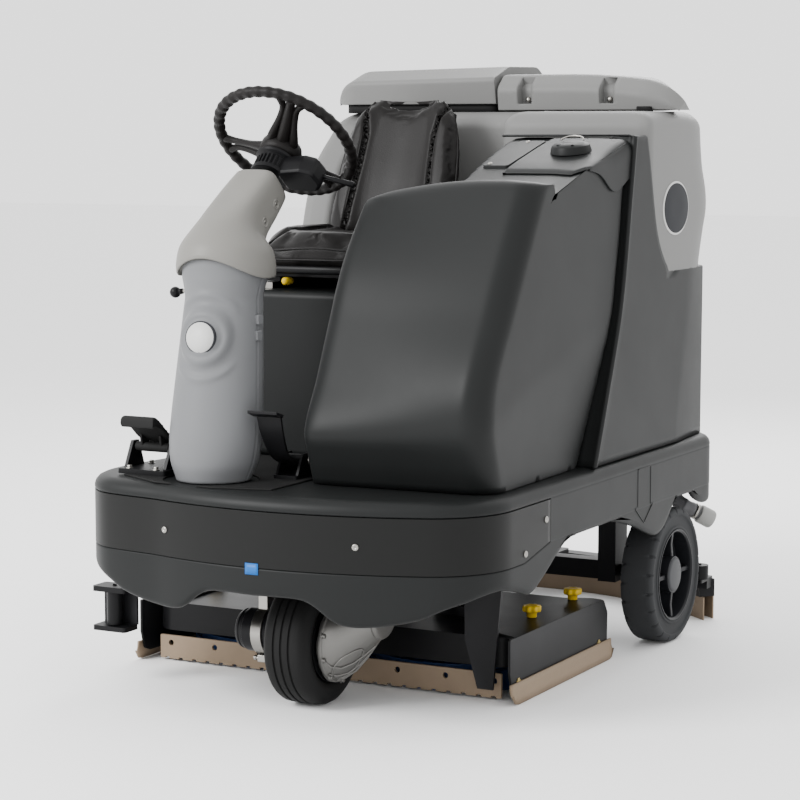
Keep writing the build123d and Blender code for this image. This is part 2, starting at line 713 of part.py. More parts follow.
def make_squeegee_beam():
    """The bowed beam with its swivel post and the brackets of the end rollers."""
    beam = squeegee_strip(46, (64, 112), trim=12)
    beam += rod((DECK_X, SWIVEL[1], 100), (DECK_X, SWIVEL[1], 200), 10)
    beam += block((DECK_X - 60, DECK_X + 60), (770, 905), (100, 122), 12)
    for side in (-1, 1):
        x = DECK_X + side * 566
        beam += block(sorted((x - 14, x + 14)), (612, 700), (112, 120), 5)
        beam += block(sorted((x - 14, x + 14)), (655, 700), (90, 113))
        beam -= rod((x, 634, 100), (x, 634, 130), 5 + RUNNING)
    return beam


def make_squeegee_blades():
    return [squeegee_strip(4, (0, 64), back=-18, trim=14), squeegee_strip(4, (0, 64), back=18)]


def make_squeegee_roller(side):
    x = DECK_X + side * 566
    return rod((x, 634, 122), (x, 634, 160), 24) + rod((x, 634, 108), (x, 634, 164), 5)


# ---------------------------------------------------------------- all pieces


def make_pieces():
    column_front, column_rear = make_column_covers()
    drive_tyre, drive_rim = make_drive_wheel()
    left_tyre, left_rim = make_rear_wheel(1)
    right_tyre, right_rim = make_rear_wheel(-1)
    right_brush_x, left_brush_x = brush_xs()
    knobs = knob_places()
    return {
        "chassis_frame": make_chassis_frame(),
        "lower_body": make_lower_body(),
        "bumper_band": make_bumper_band(),
        "cover_screws": make_cover_screws(),
        "floor_mat": make_floor_mat(),
        "solution_tank": make_solution_tank(),
        "fill_hinge": make_fill_hinge(),
        "fill_lid": make_fill_lid(),
        "battery_box": make_battery_box(),
        "batteries": make_batteries(),
        "rear_body": make_rear_body(),
        "recovery_tank": make_recovery_tank(),
        "recovery_lid": make_recovery_lid(),
        "vacuum_cover": make_vacuum_cover(),
        "vacuum_motor": make_vacuum_motor(),
        "drain_hose": make_drain_hose(),
        "badges": make_badges(),
        "column_front_cover": column_front,
        "column_rear_cover": column_rear,
        "column_head_cover": make_head_cover(),
        "column_collar": make_column_collar(),
        "control_pod": make_control_pod(),
        "tilt_lever": make_tilt_lever(),
        "steering_wheel": make_steering_wheel(),
        "steering_hub": make_steering_hub(),
        "steering_shaft": make_steering_shaft(),
        "pedal_plates": make_pedal_plates(),
        "drive_pedal": make_drive_pedal(),
        "brake_pedal": make_brake_pedal(),
        "seat_rails": make_seat_rails(),
        "seat_pan": make_seat_pan(),
        "seat_cushion": make_seat_cushion(),
        "seat_back": make_seat_back(),
        "seat_lever": make_seat_lever(),
        "drive_yoke": make_drive_yoke(),
        "drive_gearbox": make_drive_gearbox(),
        "drive_motor": make_drive_motor(),
        "motor_strap": make_motor_strap(),
        "drive_tyre": drive_tyre,
        "drive_rim": drive_rim,
        "rear_tyre_left": left_tyre,
        "rear_rim_left": left_rim,
        "rear_tyre_right": right_tyre,
        "rear_rim_right": right_rim,
        "deck_housing": make_deck_housing(),
        "brush_motors": make_brush_motors(),
        "side_skirts": make_side_skirts(),
        "deck_blades": make_deck_blades(),
        "brush_left": make_brush(left_brush_x),
        "brush_right": make_brush(right_brush_x),
        "knob_left_front": make_knob(*knobs[0]),
        "knob_left_rear": make_knob(*knobs[1]),
        "knob_right_front": make_knob(*knobs[2]),
        "knob_right_rear": make_knob(*knobs[3]),
        "guard_roller": make_guard_roller(),
        "squeegee_arm": make_squeegee_arm(),
        "squeegee_beam": make_squeegee_beam(),
        "squeegee_blades": make_squeegee_blades(),
        "squeegee_roller_left": make_squeegee_roller(1),
        "squeegee_roller_right": make_squeegee_roller(-1),
    }


def main():
    os.makedirs("parts", exist_ok=True)
    for name, piece in make_pieces().items():
        solids = piece if isinstance(piece, list) else [piece]
        moved = [solid for piece_part in solids for solid in (Pos(CENTRE_SHIFT, 0, 0) * piece_part).solids()]
        export_step(moved[0] if len(moved) == 1 else Compound(children=moved), f"parts/{name}.step")


main()
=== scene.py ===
"""Looks of the ride-on floor scrubber: moulded covers, seat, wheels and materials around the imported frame."""

import math

import bpy
import bmesh
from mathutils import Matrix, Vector


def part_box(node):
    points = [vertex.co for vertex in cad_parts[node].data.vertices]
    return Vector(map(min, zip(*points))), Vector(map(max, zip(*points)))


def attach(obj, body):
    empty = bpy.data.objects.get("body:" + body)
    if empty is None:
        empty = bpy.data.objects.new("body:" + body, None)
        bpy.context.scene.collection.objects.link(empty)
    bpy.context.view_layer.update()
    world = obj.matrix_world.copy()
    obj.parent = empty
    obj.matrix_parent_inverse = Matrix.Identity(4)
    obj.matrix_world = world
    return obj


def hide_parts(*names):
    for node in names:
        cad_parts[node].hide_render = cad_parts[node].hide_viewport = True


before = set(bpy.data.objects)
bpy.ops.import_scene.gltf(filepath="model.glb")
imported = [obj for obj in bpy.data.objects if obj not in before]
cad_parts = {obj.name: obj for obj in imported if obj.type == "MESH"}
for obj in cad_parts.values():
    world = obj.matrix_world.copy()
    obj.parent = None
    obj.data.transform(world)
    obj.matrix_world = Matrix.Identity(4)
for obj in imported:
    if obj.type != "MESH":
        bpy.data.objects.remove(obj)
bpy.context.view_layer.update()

# The machine's centre plane lies midway between the rear tyres; pieces are made in machine
# coordinates, with x measured from that plane, and moved by MID when their mesh is made.
MID = (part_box("rear_tyre_left")[1].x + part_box("rear_tyre_right")[0].x) / 2


# ---------------------------------------------------------------- small tools


def lerp(a, b, t):
    return a + (b - a) * t


def follow(points, t):
    """The height of a smooth curve through (t, value) points, by cubic Hermite spans."""
    if t <= points[0][0]:
        return points[0][1]
    if t >= points[-1][0]:
        return points[-1][1]
    k = max(i for i in range(len(points) - 1) if points[i][0] <= t)
    slope = [
        (points[min(i + 1, len(points) - 1)][1] - points[max(i - 1, 0)][1])
        / (points[min(i + 1, len(points) - 1)][0] - points[max(i - 1, 0)][0])
        for i in (k, k + 1)
    ]
    (t0, v0), (t1, v1) = points[k], points[k + 1]
    h = t1 - t0
    u = (t - t0) / h
    return (
        v0 * (2 * u**3 - 3 * u**2 + 1)
        + slope[0] * h * (u**3 - 2 * u**2 + u)
        + v1 * (3 * u**2 - 2 * u**3)
        + slope[1] * h * (u**3 - u**2)
    )


def rounded(points, radii, steps=5):
    """A closed 2-D outline with its corners turned into arcs of the given radii."""
    radii = radii if isinstance(radii, (list, tuple)) else [radii] * len(points)
    made = []
    count = len(points)
    for i, radius in enumerate(radii):
        p, before, after = (Vector(points[j % count]) for j in (i, i - 1, i + 1))
        if radius <= 0:
            made.append(tuple(p))
            continue
        a, b = (before - p), (after - p)
        half = a.angle(b) / 2
        cut = min(radius / math.tan(half), a.length * 0.49, b.length * 0.49)
        start, end = p + a.normalized() * cut, p + b.normalized() * cut
        for step in range(steps + 1):
            u = step / steps
            made.append(tuple(start * (1 - u) ** 2 + p * 2 * u * (1 - u) + end * u**2))
    return made


def add_mesh(name, verts, faces):
    mesh = bpy.data.meshes.new(name)
    mesh.from_pydata([(x + MID, y, z) for x, y, z in verts], [], faces)
    work = bmesh.new()
    work.from_mesh(mesh)
    bmesh.ops.remove_doubles(work, verts=work.verts, dist=1e-6)
    bmesh.ops.recalc_face_normals(work, faces=work.faces)
    work.to_mesh(mesh)
    work.free()
    mesh.polygons.foreach_set("use_smooth", [True] * len(mesh.polygons))
    obj = bpy.data.objects.new(name, mesh)
    bpy.context.scene.collection.objects.link(obj)
    return obj


def modifier(obj, kind, **settings):
    made = obj.modifiers.new(kind.title(), kind)
    for key, value in settings.items():
        setattr(made, key, value)
    return made


def bevelled(obj, width, segments=3, angle=30):
    modifier(obj, "BEVEL", width=width, segments=segments, limit_method="ANGLE", angle_limit=math.radians(angle))
    modifier(obj, "WEIGHTED_NORMAL", keep_sharp=True)
    return obj


def place(obj, body, mat, slot, *nodes):
    """Gives a piece its finish, its body and the CAD nodes it stands for."""
    obj.data.materials.clear()
    obj.data.materials.append(mat)
    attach(obj, body)
    if nodes:
        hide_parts(*nodes)
    return obj


def skin(rings, loop=True, caps=(True, True)):
    """Vertices and faces of a surface through rings of equal length."""
    count = len(rings[0])
    verts = [p for ring in rings for p in ring]
    faces = []
    for r in range(len(rings) - 1):
        for i in range(count if loop else count - 1):
            j = (i + 1) % count
            faces.append((r * count + i, r * count + j, (r + 1) * count + j, (r + 1) * count + i))
    if caps[0]:
        faces.append(tuple(reversed(range(count))))
    if caps[1]:
        faces.append(tuple(range((len(rings) - 1) * count, len(rings) * count)))
    return verts, faces


def merge(*meshes):
    verts, faces = [], []
    for more_verts, more_faces in meshes:
        base = len(verts)
        verts += list(more_verts)
        faces += [tuple(i + base for i in face) for face in more_faces]
    return verts, faces


def axes_of(direction):
    """Two unit vectors square to a direction and to each other."""
    z = Vector(direction).normalized()
    x = Vector((1, 0, 0)) if abs(z.x) < 0.9 else Vector((0, 1, 0))
    y = z.cross(x).normalized()
    return y.cross(z).normalized(), y


def turned(centre, direction, profile, steps=48, close=False):
    """A solid of revolution: profile is a list of (radius, distance along direction)."""
    x, y = axes_of(direction)
    z = Vector(direction).normalized()
    rings = []
    for radius, along in profile:
        ring = []
        for step in range(steps):
            a = 2 * math.pi * step / steps
            ring.append(tuple(Vector(centre) + z * along + (x * math.cos(a) + y * math.sin(a)) * radius))
        rings.append(ring)
    if close:
        rings.append(rings[0])
        return skin(rings, caps=(False, False))
    return skin(rings)


def pipe(points, radius, steps=12):
    """A round tube along a list of points; radius is one number or one for each point."""
    points = [Vector(p) for p in points]
    radii = radius if isinstance(radius, (list, tuple)) else [radius] * len(points)
    rings = []
    x = None
    for i, p in enumerate(points):
        along = (points[min(i + 1, len(points) - 1)] - points[max(i - 1, 0)]).normalized()
        if x is None:
            x, _ = axes_of(along)
        x = (x - along * x.dot(along)).normalized()
        y = along.cross(x)
        turn = [2 * math.pi * step / steps for step in range(steps)]
        rings.append([tuple(p + (x * math.cos(a) + y * math.sin(a)) * radii[i]) for a in turn])
    return skin(rings)


def slab(outline, axis, low, high):
    """A plate: a closed 2-D outline carried along one axis (0, 1 or 2) from low to high."""

    def lift(p, level):
        point = list(p)
        point.insert(axis, level)
        return tuple(point)

    return skin([[lift(p, low) for p in outline], [lift(p, high) for p in outline]])


# ---------------------------------------------------------------- materials


def material(name, colour, roughness, metallic=0.0, grain=700, bump=0.12, mottle=0.1, mottle_scale=7, spread=0.07,
             coat=0.0, cells=False, wear=0.0, specular=0.13):
    """A surface with fine relief, uneven colour and gloss, and rubbed edges where wear is given."""
    mat = bpy.data.materials.new(name)
    mat.use_nodes = True
    nodes, links = mat.node_tree.nodes, mat.node_tree.links
    shader = nodes["Principled BSDF"]
    shader.inputs["Metallic"].default_value = metallic
    shader.inputs["Coat Weight"].default_value = coat
    shader.inputs["Coat Roughness"].default_value = 0.25
    shader.inputs["Specular IOR Level"].default_value = specular
    where = nodes.new("ShaderNodeTexCoord")
    source = where.outputs["Object"]

    broad = nodes.new("ShaderNodeTexNoise")
    broad.inputs["Scale"].default_value = mottle_scale
    broad.inputs["Detail"].default_value = 6
    broad.inputs["Roughness"].default_value = 0.6
    links.new(source, broad.inputs["Vector"])

    tint = nodes.new("ShaderNodeMix")
    tint.data_type = "RGBA"
    tint.inputs["A"].default_value = [c * (1 - mottle) for c in colour] + [1]
    tint.inputs["B"].default_value = [min(1, c * (1 + mottle)) for c in colour] + [1]
    links.new(broad.outputs["Fac"], tint.inputs["Factor"])
    shade = tint.outputs["Result"]
    if wear:
        edge = nodes.new("ShaderNodeNewGeometry")
        ramp = nodes.new("ShaderNodeValToRGB")
        ramp.color_ramp.elements[0].position = 0.53
        ramp.color_ramp.elements[1].position = 0.62
        rub = nodes.new("ShaderNodeMix")
        rub.data_type = "RGBA"
        rub.inputs["B"].default_value = [min(1, c * (1 + wear)) for c in colour] + [1]
        links.new(edge.outputs["Pointiness"], ramp.inputs["Fac"])
        links.new(ramp.outputs["Color"], rub.inputs["Factor"])
        links.new(shade, rub.inputs["A"])
        shade = rub.outputs["Result"]
    links.new(shade, shader.inputs["Base Color"])

    gloss = nodes.new("ShaderNodeMapRange")
    gloss.inputs["To Min"].default_value = max(0.05, roughness - spread)
    gloss.inputs["To Max"].default_value = min(1, roughness + spread)
    links.new(broad.outputs["Fac"], gloss.inputs["Value"])
    links.new(gloss.outputs["Result"], shader.inputs["Roughness"])

    if cells:
        fine = nodes.new("ShaderNodeTexVoronoi")
        fine.inputs["Scale"].default_value = grain
        height = fine.outputs["Distance"]
    else:
        fine = nodes.new("ShaderNodeTexNoise")
        fine.inputs["Scale"].default_value = grain
        fine.inputs["Detail"].default_value = 3
        height = fine.outputs["Fac"]
    links.new(source, fine.inputs["Vector"])
    relief = nodes.new("ShaderNodeBump")
    relief.inputs["Strength"].default_value = bump
    relief.inputs["Distance"].default_value = 0.001
    links.new(height, relief.inputs["Height"])
    links.new(relief.outputs["Normal"], shader.inputs["Normal"])
    return mat


DARK = material("dark_polyethylene", (0.0085, 0.0092, 0.0092), 0.45, grain=520, bump=0.16, mottle=0.06, spread=0.05)
BAND = material("band_paint", (0.0062, 0.0064, 0.0062), 0.42, grain=900, bump=0.07, mottle=0.05, spread=0.05)
LIGHT = material("light_polyethylene", (0.150, 0.150, 0.147), 0.45, grain=520, bump=0.12, mottle=0.03, spread=0.05)
COLUMN = material("column_plastic", (0.132, 0.135, 0.140), 0.45, grain=650, bump=0.12, mottle=0.03, spread=0.05)
LIGHT_HEAD = material("head_plastic", (0.165, 0.161, 0.149), 0.42, grain=520, bump=0.12, mottle=0.03, spread=0.05)
STEEL_BLACK = material("black_powder_coat", (0.0045, 0.0045, 0.005), 0.40, grain=600, bump=0.1, mottle=0.2, wear=1.5)
ZINC = material("zinc_plate", (0.30, 0.29, 0.27), 0.32, metallic=1, grain=400, bump=0.05, mottle=0.12, spread=0.1)
ALLOY = material("cast_alloy", (0.15, 0.147, 0.14), 0.45, metallic=0.8, grain=260, bump=0.3, mottle=0.15, spread=0.1)
MOTOR = material("motor_enamel", (0.008, 0.008, 0.009), 0.35, grain=300, bump=0.12, mottle=0.2)
BLACK = material("black_moulding", (0.004, 0.004, 0.0045), 0.4, grain=700, bump=0.12, mottle=0.15)
GRIP = material("wheel_grip", (0.006, 0.0052, 0.005), 0.45, grain=800, bump=0.25, mottle=0.15, cells=True)
VINYL = material("seat_vinyl", (0.0062, 0.0056, 0.0054), 0.38, grain=420, bump=0.22, mottle=0.15, cells=True,
                 spread=0.06)
MAT = material("rubber_mat", (0.009, 0.009, 0.009), 0.7, grain=300, bump=0.3, mottle=0.2)
YELLOW = material("yellow_plastic", (0.50, 0.33, 0.010), 0.35, grain=500, bump=0.08, mottle=0.06)
TYRE_BLACK = material("black_tyre", (0.007, 0.007, 0.007), 0.62, grain=260, bump=0.3, mottle=0.35, mottle_scale=14)
TYRE_GREY = material("grey_tyre", (0.026, 0.027, 0.0285), 0.7, grain=240, bump=0.3, mottle=0.15, mottle_scale=12)
RIM = material("rim_paint", (0.008, 0.0085, 0.010), 0.35, grain=500, bump=0.08, mottle=0.2, wear=1.5)
CAP_GREY = material("hub_cap", (0.040, 0.041, 0.044), 0.45, grain=500, bump=0.08)
TAN = material("tan_rubber", (0.22, 0.165, 0.115), 0.55, grain=220, bump=0.25, mottle=0.14, mottle_scale=11)
HOSE = material("hose_rubber", (0.12, 0.12, 0.125), 0.5, grain=300, bump=0.15)
CAP_PALE = material("pale_cap", (0.26, 0.26, 0.25), 0.4, grain=500, bump=0.08)
BRUSH = material("brush_nylon", (0.015, 0.035, 0.10), 0.5, grain=160, bump=0.8, mottle=0.3)
BADGE = material("badge_dark", (0.022, 0.023, 0.026), 0.65, grain=500, bump=0.03)
PALE = material("badge_pale", (0.5, 0.5, 0.49), 0.35, grain=500, bump=0.03, mottle=0.02)
BLUE = material("label_blue", (0.01, 0.10, 0.34), 0.35, grain=500, bump=0.03)
BRASS = material("brass_clip", (0.38, 0.29, 0.10), 0.35, metallic=0.9, grain=400, bump=0.08)
BATTERY = material("battery_case", (0.010, 0.010, 0.011), 0.45, grain=300, bump=0.15)

KEPT = {
    "chassis_frame": STEEL_BLACK, "floor_mat": MAT, "battery_box": DARK, "batteries": BATTERY,
    "vacuum_motor": MOTOR, "steering_shaft": ZINC, "seat_rails": ZINC, "seat_pan": STEEL_BLACK,
    "drive_yoke": STEEL_BLACK, "drive_rim": STEEL_BLACK, "deck_housing": STEEL_BLACK, "brush_motors": MOTOR,
    "brush_left": BRUSH, "brush_right": BRUSH, "guard_roller": BLACK, "squeegee_arm": STEEL_BLACK,
    "squeegee_beam": STEEL_BLACK, "squeegee_blades": TAN, "squeegee_roller_left": BLACK,
    "squeegee_roller_right": BLACK, "pedal_plates": STEEL_BLACK,
}


def keep_cad_nodes():
    """CAD pieces that stay as they are get their material, welded seams and softened edges."""
    for name, mat in KEPT.items():
        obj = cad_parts[name]
        obj.data.materials.clear()
        obj.data.materials.append(mat)
        modifier(obj, "WELD", merge_threshold=0.00002)
        bevelled(obj, 0.0012, segments=2, angle=40)


# ---------------------------------------------------------------- lower body

HALF = 0.520
FRONT = -0.935
REAR = 0.650
LEDGE = 0.530
BOW = (0.400, FRONT + 0.085)
CORNER_END = (HALF, -0.665)
REAR_RADIUS = 0.090
BAND_LOW, BAND_HIGH = 0.366, 0.497
BAND_END = -0.458
FRONT_HEM = ((-0.02, 0.302), (0.115, 0.302), (0.150, 0.290), (0.205, 0.253), (0.270, 0.247), (0.380, 0.266),
             (0.440, 0.292), (0.520, 0.318))
SIDE_HEM = ((-0.700, 0.320), (-0.623, 0.304), (-0.558, 0.288), (-0.491, 0.314), (-0.377, 0.373), (-0.282, 0.397),
            (-0.134, 0.395), (0.035, 0.360), (0.200, 0.309), (0.256, 0.322), (0.339, 0.385), (0.411, 0.413),
            (0.488, 0.364), (0.565, 0.345), (0.650, 0.356))


def arc(centre, radius, start, end, steps):
    """Points with their outward normals along an arc; angles in radians."""
    made = []
    for step in range(steps + 1):
        a = lerp(start, end, step / steps)
        made.append((centre[0] + radius * math.cos(a), centre[1] + radius * math.sin(a), math.cos(a), math.sin(a)))
    return made


def half_outline():
    """The left half of the lower body's outline from the front middle to the rear middle."""
    rise = BOW[1] - FRONT
    bow_radius = (BOW[0] ** 2 + rise**2) / (2 * rise)
    lean = math.asin(BOW[0] / bow_radius)
    points = arc((0, FRONT + bow_radius), bow_radius, -math.pi / 2, -math.pi / 2 + lean, 26)
    dx, dy = CORNER_END[0] - BOW[0], CORNER_END[1] - BOW[1]
    normal = (-math.sin(lean), math.cos(lean))
    radius = (dx**2 + dy**2) / (2 * (dx * normal[0] + dy * normal[1]))
    centre = (BOW[0] + normal[0] * radius, BOW[1] + normal[1] * radius)
    end = math.atan2(CORNER_END[1] - centre[1], CORNER_END[0] - centre[0])
    points += arc(centre, radius, -math.pi / 2 + lean, end, 20)[1:]
    side = [lerp(CORNER_END[1], BAND_END - 0.0012, step / 12) for step in range(1, 13)]
    side += [BAND_END - 0.0004] + [lerp(BAND_END, REAR - REAR_RADIUS, step / 60) for step in range(61)]
    points += [(HALF, y, 1, 0) for y in side]
    points += arc((HALF - REAR_RADIUS, REAR - REAR_RADIUS), REAR_RADIUS, 0, math.pi / 2, 12)[1:]
    points += [(x, REAR, 0, 1) for x in (0.3, 0.15, 0.0)]
    return points


def full_outline():
    left = half_outline()
    right = []
    for x, y, nx, ny in reversed(left[1:-1]):
        wide = smooth((x - 0.26) / 0.18)
        right.append((-x - 0.030 * wide * smooth((-0.30 - y) / 0.40), y - 0.022 * wide * smooth((-0.62 - y) / 0.12),
                      -nx, ny))
    return left + right


def hem_height(x, y):
    front = follow(FRONT_HEM, abs(x))
    side = follow(SIDE_HEM, y)
    share = min(1, max(0, (y + 0.80) / 0.10))
    return lerp(front, side, share * share * (3 - 2 * share))


def band_low(y):
    """The band's lower edge, which climbs aslant towards its end on each side."""
    return lerp(BAND_LOW, 0.395, min(1, max(0, (y + 0.60) / (BAND_END + 0.60))))


def lower_body():
    rings = []
    for x, y, nx, ny in full_outline():
        hem = hem_height(x, y)
        inset = 0.0055 if y < BAND_END - 0.0008 else 0.0
        low = band_low(y)
        profile = (
            (-0.20, LEDGE), (-0.060, LEDGE), (-0.034, LEDGE), (-0.022, LEDGE - 0.0015), (-0.010, LEDGE - 0.007),
            (-0.003, LEDGE - 0.015), (0, LEDGE - 0.024), (0, BAND_HIGH + 0.003), (-0.001, BAND_HIGH),
            (-inset, BAND_HIGH - 0.0005), (-inset, BAND_HIGH - 0.004), (-inset, low + 0.004), (-inset, low + 0.0005),
            (-0.0015, low), (-0.0005, low - 0.004), (-0.0005, lerp(low, hem, 0.6)), (-0.0005, hem + 0.014),
            (-0.0020, hem + 0.007), (-0.006, hem + 0.002), (-0.011, hem), (-0.017, hem + 0.003),
            (-0.019, hem + 0.010),
            (-0.019, LEDGE - 0.03), (-0.025, LEDGE - 0.022),
        )
        rings.append([(x + nx * out, y + ny * out, z) for out, z in profile])
    rings.append(rings[0])
    verts, faces = skin(rings, loop=False, caps=(False, False))
    top = [rings[i][0] for i in range(len(rings) - 1)]
    under = [rings[i][-1] for i in range(len(rings) - 1)]
    caps = (top + under, [tuple(range(len(top))), tuple(range(len(top), 2 * len(top)))])
    body = add_mesh("lower_body_shell", *merge((verts, faces), caps))
    modifier(body, "WEIGHTED_NORMAL", keep_sharp=True)
    return place(body, "chassis", DARK, "dark_plastic", "lower_body")


def bumper_band():
    rings = []
    stations = [p for p in full_outline() if p[1] < BAND_END - 0.001]
    ordered = sorted(stations, key=lambda p: math.atan2(p[0], -(p[1] + 0.3)))
    for x, y, nx, ny in ordered:
        low, high = band_low(y) + 0.0016, BAND_HIGH - 0.002
        profile = ((-0.0052, high), (-0.0012, high), (-0.0002, high - 0.001), (-0.0002, low + 0.001), (-0.0012, low),
                   (-0.0052, low))
        rings.append([(x + nx * out, y + ny * out, z) for out, z in profile])
    band = add_mesh("bumper_band_panel", *skin(rings))
    modifier(band, "WEIGHTED_NORMAL", keep_sharp=True)
    return place(band, "chassis", BAND, "band_paint", "bumper_band")


def smooth(t):
    t = min(1, max(0, t))
    return t * t * (3 - 2 * t)


def spread(low, high, count):
    return [lerp(low, high, i / (count - 1)) for i in range(count)]


def bezier(a, b, c, steps):
    made = []
    for step in range(steps + 1):
        u = step / steps
        made.append(tuple(p * (1 - u) ** 2 + q * 2 * u * (1 - u) + r * u**2 for p, q, r in zip(a, b, c)))
    return made


def carve(obj, *cutters):
    """Cuts closed meshes out of a piece and applies the result."""
    for cutter in cutters:
        cut = modifier(obj, "BOOLEAN", object=cutter, solver="EXACT")
        cut.operation = "DIFFERENCE"
    graph = bpy.context.evaluated_depsgraph_get()
    carved = bpy.data.meshes.new_from_object(obj.evaluated_get(graph))
    obj.modifiers.clear()
    obj.data = carved
    for cutter in cutters:
        bpy.data.objects.remove(cutter)
    return obj


# ---------------------------------------------------------------- pod

GROOVE = ((0.526, -0.189), (0.689, -0.120), (0.912, -0.033), (1.205, 0.026), (1.324, 0.048))
POD_INNER = ((0.530, -0.722), (0.600, -0.748), (0.660, -0.763), (0.770, -0.708), (0.900, -0.648), (1.030, -0.583),
             (1.168, -0.474), (1.240, -0.400))
POD_OUTER = ((0.530, -0.700), (0.600, -0.738), (0.688, -0.778), (0.790, -0.763), (0.945, -0.668), (1.130, -0.556),
             (1.215, -0.503), (1.260, -0.470))
HOOD = ((0.03, 1.180), (0.10, 1.200), (0.25, 1.222), (0.40, 1.228), (0.47, 1.224), (0.50, 1.218))
DECK_LINE = ((-0.442, 1.185), (-0.300, 1.2230), (-0.180, 1.2600), (0.040, 1.3150), (0.130, 1.3220))
DECK_EDGE = ((-0.442, 1.180), (-0.412, 1.184), (-0.194, 1.252), (-0.100, 1.276), (0.040, 1.312), (0.130, 1.318))
FACET = ((-0.780, 0.688), (-0.642, 0.735), (-0.323, 0.827), (-0.115, 0.874), (0.100, 0.930))
POD_LOW, POD_REAR = 0.532, 0.130
SHELF = 1.165
POD_X = (0.03, 0.50)


def deck_height(x, y):
    """The pod's sloping top, which falls away towards both long edges."""
    side = smooth((x - 0.42) / 0.08)
    height = lerp(follow(DECK_LINE, y), follow(DECK_EDGE, y), side)
    inner_edge = lerp(0.225, 0.178, smooth((y + 0.44) / 0.57))
    return height - min(max(0, height - SHELF), max(0, inner_edge - x) * 5)


def pod_ring(x):
    """The pod's outline at one x, from the bottom front over the top to the bottom rear."""
    across = min(1, max(0, (x - 0.045) / 0.41))
    left, right = max(0, (x - 0.435) / 0.065), max(0, (0.075 - x) / 0.045)
    pull = 0.065 * (1 - math.sqrt(max(0, 1 - left**2))) + 0.022 * (1 - math.sqrt(max(0, 1 - right**2)))
    hood = follow(HOOD, x)

    def front(z):
        return lerp(follow(POD_INNER, z), follow(POD_OUTER, z), across) + pull

    column = [(front(z), z) for z in spread(POD_LOW, hood - 0.026, 44)]
    lip = bezier(column[-1], (front(hood) - 0.002, hood), (front(hood) + 0.026, hood - 0.001), 7)[1:]
    valley = (max(-0.442, lip[-1][0] + 0.016), deck_height(x, -0.442) - 0.002)
    drop = [tuple(lerp(a, b, smooth(u)) if k else lerp(a, b, u) for k, (a, b) in enumerate(zip(lip[-1], valley)))
            for u in (0.2, 0.4, 0.6, 0.8, 1)]
    deck = [(y, deck_height(x, y)) for y in spread(valley[0] + 0.012, POD_REAR, 40)]
    return column + lip, drop + deck


def pod():
    """The tall moulded tank beside the driver, with its hood, sloping top and tucked-in lower side."""
    stations = [0.03 + 0.045 * (1 - math.cos(a)) for a in spread(0, math.pi / 2, 8)]
    stations += spread(0.085, 0.145, 5) + spread(0.150, 0.250, 21) + spread(0.262, 0.425,
            13) + [0.435 + 0.065 * math.sin(a) for a in spread(0, math.pi / 2, 14)]
    rings = []
    for x in stations:
        front, top = pod_ring(x)
        rear = [(POD_REAR, lerp(top[-1][1], POD_LOW, i / 30)) for i in range(1, 31)]
        under = [(lerp(POD_REAR, front[0][0], i / 24), POD_LOW) for i in range(1, 24)]
        rings.append([(x, y, z) for y, z in front + top + rear + under])
    front, top = pod_ring(POD_X[1])
    rows, columns = len(front), len(top)
    low = [(lerp(front[0][0], POD_REAR, i / (columns - 1)), POD_LOW) for i in range(columns)]
    patch = []
    for r in range(rows):
        v = (front[r][1] - POD_LOW) / (front[-1][1] - POD_LOW)
        rear = (POD_REAR, lerp(POD_LOW, top[-1][1], v))
        for c in range(columns):
            u = (top[c][0] - top[0][0]) / (top[-1][0] - top[0][0])
            point = [
                (1 - u) * front[r][k] + u * rear[k] + (1 - v) * low[c][k] + v * top[c][k]
                - (1 - u) * ((1 - v) * front[0][k] + v * top[0][k]) - u * ((1 - v) * low[-1][k] + v * top[-1][k])
                for k in (0, 1)
            ]
            patch.append((POD_X[1], *point))
    grid = [(r * columns + c, r * columns + c + 1, (r + 1) * columns + c + 1, (r + 1) * columns + c)
            for r in range(rows - 1) for c in range(columns - 1)]
    verts, faces = merge(skin(rings, caps=(True, False)), (patch, grid))
    shaped = []
    for x, y, z in verts:
        weight = smooth((x - 0.34) / 0.16)
        below = max(0, follow(FACET, y) - z)
        tuck = 0.085 * (below - 0.012 * (1 - math.exp(-below / 0.012)))
        gap = y - follow([(b, a) for b, a in GROOVE], z)
        groove = 0.012 * smooth((gap + 0.026) / 0.024) if x > 0.45 else 0
        shaped.append((x - weight * tuck - groove, y, z))
    body = add_mesh("pod_shell", shaped, faces)
    return place(body, "chassis", DARK, "dark_plastic", "solution_tank")


LID_X = (0.300, 0.452)
FLAP = ((-0.215, 1.2450), (-0.150, 1.2330), (-0.062, 1.192), (0.045, 1.228))


def hatch_lid():
    """The hatch over the filling mouth: a slightly raised plate whose side flap ends in a V."""
    rings = []
    for y in spread(-0.262, 0.045, 40):
        ends = smooth((y + 0.262) / 0.02) * smooth((0.045 - y) / 0.02)
        lift = 0.003 + 0.005 * ends
        ring = [(x, y, deck_height(x, y) + lift) for x in spread(LID_X[0], 0.476, 14)]
        skew = y + 0.047 * (1 - smooth((y + 0.262) / 0.12))
        brow = deck_height(0.5, skew) + lift
        foot = min(brow - 0.004, follow(FLAP, skew))
        ring += bezier(ring[-1], (0.504, skew, brow + 0.002), (0.5050, skew, lerp(brow, foot, 0.4)), 5)[1:]
        ring += [(0.5055, skew, foot), (0.4990, skew, foot), (0.490, skew, foot + 0.002),
                 (LID_X[0], y, deck_height(LID_X[0], y) - 0.004)]
        rings.append(ring)
    lid = add_mesh("hatch_lid_shell", *skin(rings))
    bevelled(lid, 0.0022, segments=3, angle=38)
    return place(lid, "hatch", DARK, "dark_plastic", "fill_lid")


